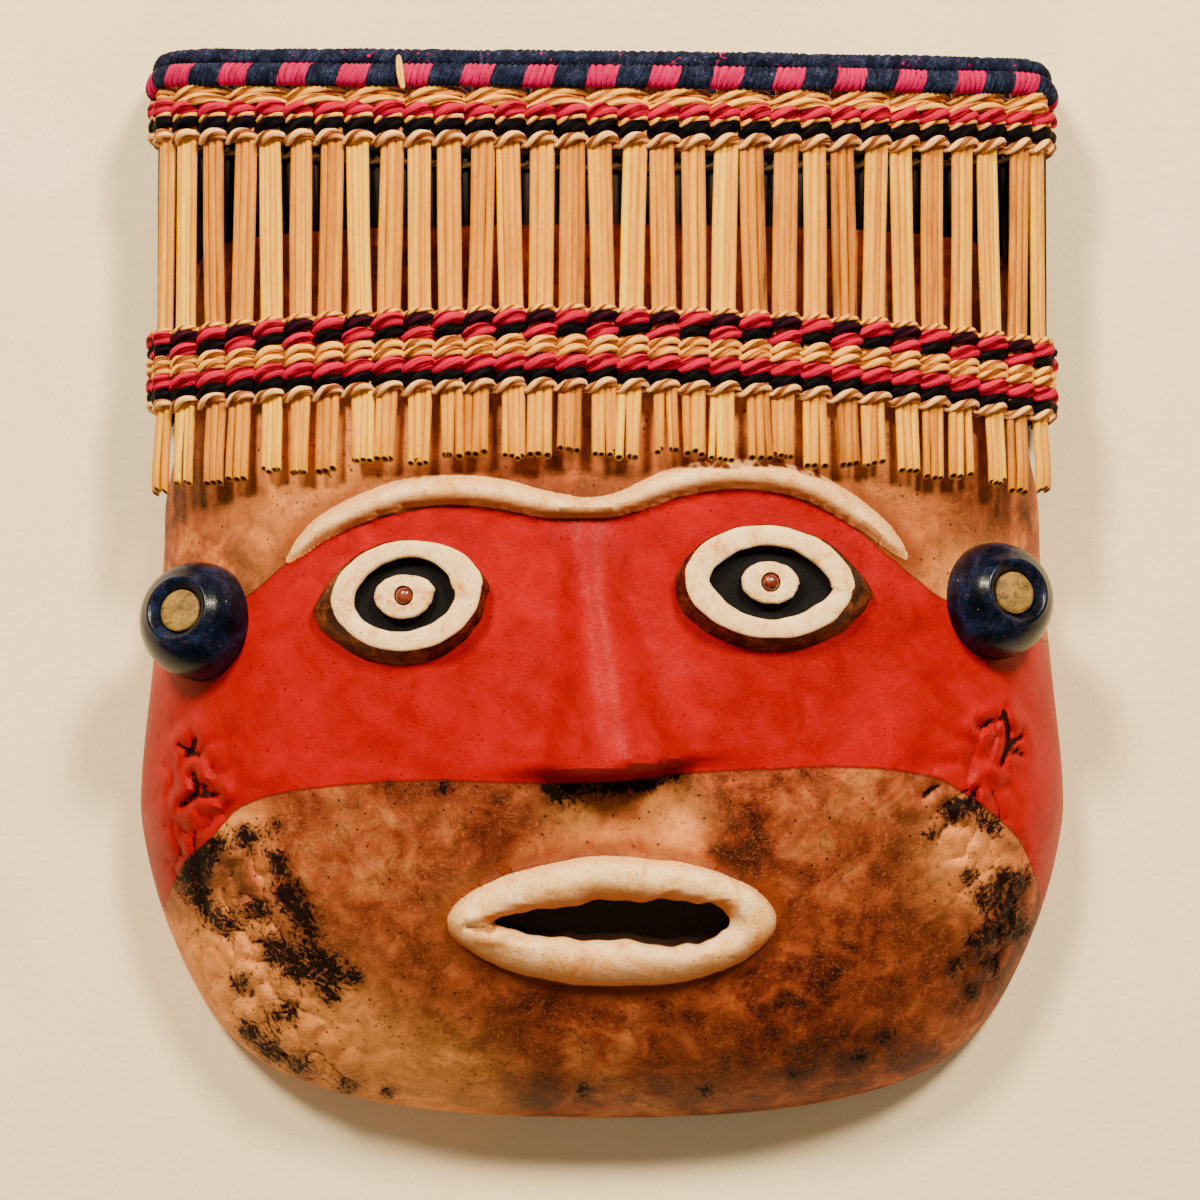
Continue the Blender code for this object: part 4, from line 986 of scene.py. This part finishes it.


# Painted shade: the back reeds are near black to give the dark inside of the crown
BACK_SHADE_STOPS = [(0.25, (6, 3, 2)), (0.5, (14, 7, 5)), (0.75, (32, 16, 10))]
BACK_SHADE_REED = reed_finish("dark_reed", BACK_SHADE_STOPS, (8, 4, 3), 0.1)
WALL_START = ARC_LENGTH + CORNER_LENGTH + 3.0
WALL_REEDS = 112
WALL_LOW = 164.3
WALL_REED = 1.02
reeds = []
for s in np.linspace(WALL_START, 2 * RING_HALF - WALL_START, WALL_REEDS):
    x, _, nx, nz = (float(v) for v in ring_frame(s))
    ys = np.array([WALL_LOW + RNG.uniform(0, 1.5), 185.0, 215.0, CROWN_TOP + top_rise(x) - 2.6])
    path = ring_point(s + RNG.uniform(-0.1, 0.1), ys, RNG.uniform(-0.08, 0.08))
    reeds.append((path, WALL_REED, math.atan2(nx, nz), RNG.uniform(0.1, 0.9), RNG.uniform(0, 90, 3)))
reeds_piece("crown_back_reeds", reeds, BACK_SHADE_REED, ["crown_back"])


# The twined bands. Pairs of cords run right round the crown and cross between the bundles, one in
# front and one behind each, row under row; the cords are of dyed and plain fibre.
REAR_PLACES = 35
REAR_KNOTS = np.linspace(BUNDLE_S[-1], 2 * RING_HALF + BUNDLE_S[0], REAR_PLACES + 1)[1:-1]
KNOTS = np.concatenate([BUNDLE_S, REAR_KNOTS])
PLACES = len(KNOTS)
FRONT_STEPS = 16
REAR_STEPS = 7
CORD_SIDES = 12
CORD_WANDER = 0.12


# Places round the ring, counted in bundles: whole numbers lie on a bundle
STATIONS = np.concatenate([np.arange(0, BUNDLES - 1, 1 / FRONT_STEPS),
                           np.arange(BUNDLES - 1, PLACES, 1 / REAR_STEPS)])


def knot_distance(u):
    """Distance round the ring of a place counted in bundles."""
    return np.interp(u, np.arange(PLACES + 1), np.append(KNOTS, KNOTS[0] + 2 * RING_HALF))


def carried(path, hint, section):
    """A closed section (rows, columns, 2) carried along a closed path, its first axis towards the hint."""
    along = np.roll(path, -1, axis=0) - np.roll(path, 1, axis=0)
    along /= np.linalg.norm(along, axis=1, keepdims=True)
    side = np.cross(along, hint)
    side /= np.linalg.norm(side, axis=1, keepdims=True)
    out = np.cross(side, along)
    return path[:, None] + section[..., :1] * out[:, None] + section[..., 1:] * side[:, None]


def strand(height, follow, form, arch, slope, seed, phase=0.0, lens=0.25, span=1):
    """One of a pair of twined cords, as a tube round the ring.

    It swings from front to back as the cosine of pi times the place over the span, arches over each
    bundle by arch and climbs across it by slope. Its form is how thick and how tall it is, how many
    plies wind round it and with what twist; lens thins it where it goes between the bundles.
    """
    thick, tall, plies, twist = form
    u = STATIONS
    swing = np.cos(np.pi * (u / span + phase))
    front = np.clip(swing, 0, 1)
    squash = 1 - 0.3 * (swing < 0) * np.abs(swing)
    reach = np.where(swing > 0, 1.05 + thick * 0.95, 1.0 + thick * 0.62)
    shaped = np.sign(swing) * np.abs(swing) ** 0.7
    s = knot_distance(u)
    x = ring_frame(s)[0]
    cross = np.sin(np.pi * (u / span + phase)) * np.where(swing > 0, 1, -1)
    loose = CORD_WANDER * waves(s, 0 * s, 23.0, seed)
    climb = slope * cross * np.where(swing > 0, 1, -0.4)
    y = height + follow(x) + arch * (front - 0.5) + climb + loose
    path = ring_point(s, y, reach * shaped)
    _, _, nx, nz = ring_frame(s)
    hint = np.stack([nx, 0 * nx, nz], axis=-1)
    a = circle(CORD_SIDES)
    lobe = 1 - 0.24 * (0.5 + 0.5 * np.cos(plies * a[None] + 2 * np.pi * twist * u[:, None] / span))
    full = squash * (1.05 - lens + lens * np.abs(swing) ** 0.8)
    section = np.stack([thick * np.cos(a)[None] * lobe * full[:, None],
                        tall * np.sin(a)[None] * lobe * full[:, None]], axis=-1)
    wind = a[None] + 2 * np.pi * twist * u[:, None] / span / plies
    fibre = np.stack([s[:, None] + 0 * wind, thick * np.cos(wind), tall * np.sin(wind)], axis=-1)
    # rear is 1 round the back of the ring, where the cords are painted near black as the shade inside the
    # crown
    rear = eased(np.abs((s + RING_HALF) % (2 * RING_HALF) - RING_HALF), WALL_START - 4.0, WALL_START + 6.0)
    return carried(path, hint, section), fibre + seed * 7.3, lobe, rear[:, None] + 0 * lobe


def cord_finish(name, stops, rough=0.66):
    """Twisted plant-fibre cord: fine streaks along its plies, painted shade in the grooves between them, and
    near black round the back of the crown as painted shade.
    """
    f = Finish(name, ior=1.12)
    fibre = f.mark("fibre", "Vector")
    streak = f.noise(f.place((0.22, 2.3, 2.3), fibre), 1.0, 3.0, 0.6)
    hair = f.noise(f.place((0.6, 6.0, 6.0), fibre), 1.0, 2.0, 0.5)
    # Painted shade in the grooves between the plies
    groove = f.mark("lobe").over(0.93, 0.80)
    blotch = f.noise(f.place(), 4.0, 3.0, 0.6)
    tone = streak * 0.62 + hair * 0.30 + blotch * 0.16 - groove * 0.26
    # Painted shade: near black round the back of the crown
    colour = f.mix(f.mark("rear") * 0.94, f.ramp(tone, stops), (14, 7, 5))
    return f.finished(colour, rough + hair * 0.1, streak * 0.8 + hair * 0.4, 0.00026)


RED_CORD = cord_finish("red_cord", [(0.26, (76, 0, 12)), (0.40, (155, 0, 29)), (0.52, (194, 0, 60)),
                                    (0.7, (210, 15, 66))])
TAN_CORD = cord_finish("tan_cord", [(0.26, (108, 52, 16)), (0.38, (206, 122, 40)), (0.50, (252, 178, 50)),
                                    (0.7, (255, 208, 110))])
PALE_CORD = cord_finish("pale_cord", [(0.26, (107, 55, 24)), (0.38, (193, 121, 64)),
                                      (0.50, (252, 186, 104)), (0.7, (255, 218, 156))])
BLACK_CORD = cord_finish("black_cord", [(0.3, (2, 1, 2)), (0.5, (6, 4, 6)), (0.7, (27, 21, 24))], 0.55)
PLUM_CORD = cord_finish("plum_cord", [(0.3, (12, 2, 8)), (0.5, (36, 6, 20)), (0.7, (78, 20, 44))])


def cords(name, strands, material, node):
    """One object from several strands of one kind of cord."""
    grids, fibres, lobes, rears = zip(*strands)
    marks = {"fibre": np.concatenate([v.reshape(-1, 3) for v in fibres]),
             "lobe": np.concatenate([v.ravel() for v in lobes]),
             "rear": np.concatenate([v.ravel() for v in rears])}
    piece(name, grids, material, [node], loop=True, marks=marks)


def pair(height, follow, form, arch, slope, seed, phase=0.0, lens=0.25, span=1):
    """Both cords of one twined row."""
    return [strand(height, follow, form, arch, slope, seed + k, phase + k, lens, span) for k in (0, 1)]


def loose_end(x, low, high, thick):
    """A thread that comes up over the rolls, bends back and goes down beside itself: a long narrow loop."""
    a = circle(40)
    y = (low + high) / 2 - (high - low) / 2 * np.cos(a)
    path = ring_point(x + 0.40 * np.sin(a) - 0.2 * (y - low), y, 5.3 - 0.35 * np.clip(y - low - 3.0, 0, 9))
    wind = circle(10)[None] + 0 * a[:, None]
    section = thick * np.stack([np.cos(wind), np.sin(wind)], axis=-1)
    fibre = np.stack([y[:, None] + 0 * wind, np.cos(wind), np.sin(wind)], axis=-1)
    return carried(path, np.array([0.3, 0.2, 1.0]), section), fibre, 0 * wind + 1, 0 * wind


# Forms of cord: half thickness, half height, plies and twist
RED_FORM = (1.35, 1.85, 3, 0.75)
SMOOTH_FORM = (1.2, 1.25, 2, 0.9)

cords("top_band_tan", [loose_end(-44.0, 238.6, 245.9, 0.42)]
      + pair(236.9, top_rise, (1.15, 1.5, 3, 1.2), 1.5, 0.7, 1, phase=0.25, lens=0.5, span=2)
      + pair(234.6, top_rise, (1.15, 1.35, 3, 1.2), 1.2, 0.6, 3, phase=0.25, lens=0.45, span=2)
      + pair(231.2, top_rise, (0.95, 0.9, 2, 2.0), 0.9, 0.6, 5), TAN_CORD, "top_band")
cords("top_band_red", pair(232.9, top_rise, RED_FORM, 0.5, 0.5, 7, lens=0.35), RED_CORD, "top_band")
cords("top_band_black", pair(229.2, top_rise, (1.2, 1.6, 3, 1.5), 0.4, 0.9, 9, lens=0.35), BLACK_CORD,
      "top_band")
cords("top_band_pale", pair(226.5, top_rise, (1.25, 1.2, 2, 1.3), 1.3, 0.8, 11, lens=0.4), PALE_CORD,
      "top_band")

MID = 180.5
cords("mid_band_red", [strand(MID + 5.9, side_drop, (1.35, 1.75, 3, 0.75), 0.7, 0.5, 13),
                       strand(MID + 2.9, side_drop, (1.35, 1.65, 3, 0.75), 0.5, 0.5, 14, phase=1)]
      + pair(MID - 4.2, side_drop, RED_FORM, 0.4, 0.6, 15), RED_CORD, "mid_band")
cords("mid_band_plum", [strand(MID + 6.1, side_drop, (1.2, 1.3, 3, 1.5), 0.5, 0.4, 17, phase=1)],
      PLUM_CORD, "mid_band")
cords("mid_band_black", [strand(MID + 3.3, side_drop, (1.2, 1.35, 3, 1.5), 0.3, 0.5, 18)]
      + pair(MID - 6.9, side_drop, (1.2, 1.45, 3, 1.5), 0.4, 0.8, 19), BLACK_CORD, "mid_band")
cords("mid_band_tan", pair(MID + 7.9, side_drop, (0.8, 0.75, 2, 3.0), 0.9, 0.3, 21)
      + pair(MID + 0.6, side_drop, SMOOTH_FORM, 1.0, 0.6, 23, lens=0.4)
      + pair(MID - 1.4, side_drop, SMOOTH_FORM, 0.8, 0.5, 25, lens=0.4), TAN_CORD, "mid_band")
cords("mid_band_pale", pair(MID - 9.1, side_drop, (1.2, 1.1, 2, 1.3), 1.2, 0.8, 27, lens=0.4), PALE_CORD,
      "mid_band")


# The crown's top edge. Two thin rods, one over the reeds' ends and one in front, are wrapped tightly
# with navy cord, and the front one with pink cord between every second pair of bundles.
ROLL_SIDES = 18
STEPS_PER_WINDING = 6
CORNER_DIP = 2.4
CORNER_DRAWN_IN = 0.42


def wrapped_roll(name, height, out, halves, windings, slant, material, node, seed):
    """A ring-shaped rod with cord wound round it: its radius swells as |sin| once for each winding."""
    u = np.linspace(0, PLACES, windings * STEPS_PER_WINDING, endpoint=False)
    s = knot_distance(u)
    x, _, nx, nz = ring_frame(s)
    left = np.abs((s + RING_HALF) % (2 * RING_HALF) - RING_HALF)
    y = height + top_rise(x) + 0.10 * waves(s, 0 * s, 30.0, seed)
    y = y - CORNER_DIP * np.exp(-((left - ARC_LENGTH - CORNER_LENGTH) / 6.0) ** 2)
    round_corner = eased(left, ARC_LENGTH - 14.0, ARC_LENGTH + 8.0)
    out = out * (1 - CORNER_DRAWN_IN * round_corner) + 0.08 * waves(s, 0 * s, 26.0, seed + 1)
    path = ring_point(s, y, out)
    hint = np.stack([nx, 0 * nx, nz], axis=-1)
    a = circle(ROLL_SIDES)
    across, along = halves[0] * np.cos(a)[None], halves[1] * np.sin(a)[None]
    lean = slant * (1 + 0.9 * waves(s, 0 * s, 15.0, seed + 3, 3))
    drift = 0.25 * waves(s, 0 * s, 19.0, seed + 2)
    turn = s[:, None] / (2 * RING_HALF) * windings + lean[:, None] * np.sin(a)[None] + drift[:, None]
    ridge = np.abs(np.sin(np.pi * turn)) ** 0.6
    swell = 0.80 + 0.20 * ridge
    section = np.stack([across * swell, along * swell], axis=-1)
    fibre = np.stack([0.5 * across + 0 * turn, turn * 1.5, 0.5 * along + 0 * turn], axis=-1)
    middle = (u[:, None] + 0.10 * np.sin(a)[None] - 1.0) / 2
    pink = np.abs(middle - np.round(middle)) * 2
    marks = {"fibre": fibre.reshape(-1, 3), "lobe": (0.85 + 0.15 * ridge).ravel(),
             "pink": (0.47 - pink).ravel()}
    piece(name, [carried(path, hint, section)], material, [node], loop=True, marks=marks)


def wrap_finish(name, with_pink):
    """Navy wrapping cord with pale crossing threads, and pink stretches where they belong or else stray pink
    threads.
    """
    f = Finish(name, ior=1.12)
    fibre = f.mark("fibre", "Vector")
    streak = f.noise(f.place((0.6, 3.0, 0.6), fibre), 1.0, 3.0, 0.6)
    hair = f.noise(f.place((1.4, 8.0, 1.4), fibre), 1.0, 2.0, 0.5)
    mm = f.place()
    blotch = f.noise(mm, 3.0, 3.0, 0.6)
    # Painted shade in the grooves between the windings
    groove = f.mark("lobe").over(0.95, 0.86)
    tone = streak * 0.5 + hair * 0.3 + blotch * 0.2 - groove * 0.2
    navy = f.ramp(tone, [(0.28, (5, 6, 12)), (0.45, (14, 18, 34)), (0.6, (30, 38, 66)),
                         (0.75, (70, 76, 108))])
    pink = f.ramp(tone, [(0.26, (84, 0, 22)), (0.42, (160, 0, 62)), (0.56, (194, 0, 84)),
                         (0.72, (214, 34, 101))])
    threads = f.noise(mm, 1.5, 1.0, 0.4, 2.6)
    crossing = (threads - 0.5).size().over(0.03, 0.0) * blotch.over(0.4, 0.6)
    navy = f.mix(crossing * 0.5, navy, (104, 112, 146))
    stray = f.noise(mm, 2.2, 2.0, 0.5, 1.5)
    if with_pink:
        mask = (f.mark("pink") + (streak - 0.5) * 0.12).over(-0.02, 0.02)
    else:
        mask = stray.over(0.66, 0.70) * f.mark("pink").over(-0.3, 0.2)
    colour = f.mix(mask, navy, pink)
    return f.finished(colour, 0.62 + hair * 0.12, streak * 0.5 + hair * 0.4, 0.00014)


wrapped_roll("rim_roll_front_wrapped", 240.7, ROLL_OUT, (1.95, 2.7), 330, 0.6,
             wrap_finish("navy_pink_cord", True), "rim_roll_front", 31)
wrapped_roll("rim_roll_top_wrapped", 244.85, 0.0, (2.15, 2.2), 250, 1.1,
             wrap_finish("navy_cord", False), "rim_roll_top", 35)


# The place it lies on: a plain pale surface, soft light from both upper sides, and the camera
# looking straight down on the face.
FLOOR_SIZE = 3.0
CAMERA_DISTANCE = 1.0
VIEW_WIDTH = 0.2868
CAMERA_AT = (-0.00048, -0.00249, CAMERA_DISTANCE)
SENSOR = 36.0
LIGHT_COLOUR = (1.0, 0.86, 0.66)
LIGHT_X, LIGHT_Y, LIGHT_HEIGHT = 0.56, 0.96, 1.25
LIGHT_SIZE, LIGHT_POWER = 0.28, 43.0
FRONT_SIZE, FRONT_POWER = 0.6, 4.0
ROOM_COLOUR = (1.0, 0.86, 0.68, 1)
ROOM_STRENGTH = 0.13


def floor_finish():
    """Plain pale, slightly uneven surface."""
    f = Finish("pale_floor", specular_ior_level=0.2)
    mm = f.place()
    fine = f.noise(mm, 1.6, 4.0, 0.6)
    soft = f.noise(mm, 60.0, 2.0, 0.5)
    colour = f.ramp(soft * 0.6 + fine * 0.4, [(0.35, (252, 228, 180)), (0.65, (255, 236, 196))])
    return f.finished(colour, 0.85 + fine * 0.1, fine, 0.00015)


bpy.ops.mesh.primitive_plane_add(size=FLOOR_SIZE, location=(0, 0, 0))
floor = bpy.context.object
floor.name = "floor"
floor.data.materials.append(floor_finish())


def area_light(name, place, target, size, power, shines=True):
    """A square soft light aimed at a point; one that doesn't shine gives no reflection of itself."""
    data = bpy.data.lights.new(name, "AREA")
    data.shape = "SQUARE"
    data.size = size
    data.energy = power
    data.color = LIGHT_COLOUR
    light = bpy.data.objects.new(name, data)
    light.location = place
    away = np.array(target) - np.array(place)
    flat = math.hypot(away[0], away[1])
    light.rotation_euler = (math.atan2(flat, -away[2]), 0, math.atan2(away[1], away[0]) - math.pi / 2)
    light.visible_glossy = shines
    bpy.context.scene.collection.objects.link(light)


for name, x in (("light_left", -LIGHT_X), ("light_right", LIGHT_X)):
    area_light(name, (x, LIGHT_Y, LIGHT_HEIGHT), (0, 0.02, 0.03), LIGHT_SIZE, LIGHT_POWER)
area_light("light_front", (0.0, -1.1, 1.3), (0, 0, 0.03), FRONT_SIZE, FRONT_POWER, shines=False)

world = bpy.data.worlds.new("soft_room")
world.use_nodes = True
room = world.node_tree.nodes["Background"].inputs
room["Color"].default_value = ROOM_COLOUR
room["Strength"].default_value = ROOM_STRENGTH
bpy.context.scene.world = world

camera_data = bpy.data.cameras.new("camera")
camera_data.sensor_width = SENSOR
camera_data.lens = SENSOR * CAMERA_DISTANCE / VIEW_WIDTH
camera = bpy.data.objects.new("camera", camera_data)
camera.location = CAMERA_AT
bpy.context.scene.collection.objects.link(camera)
bpy.context.scene.camera = camera
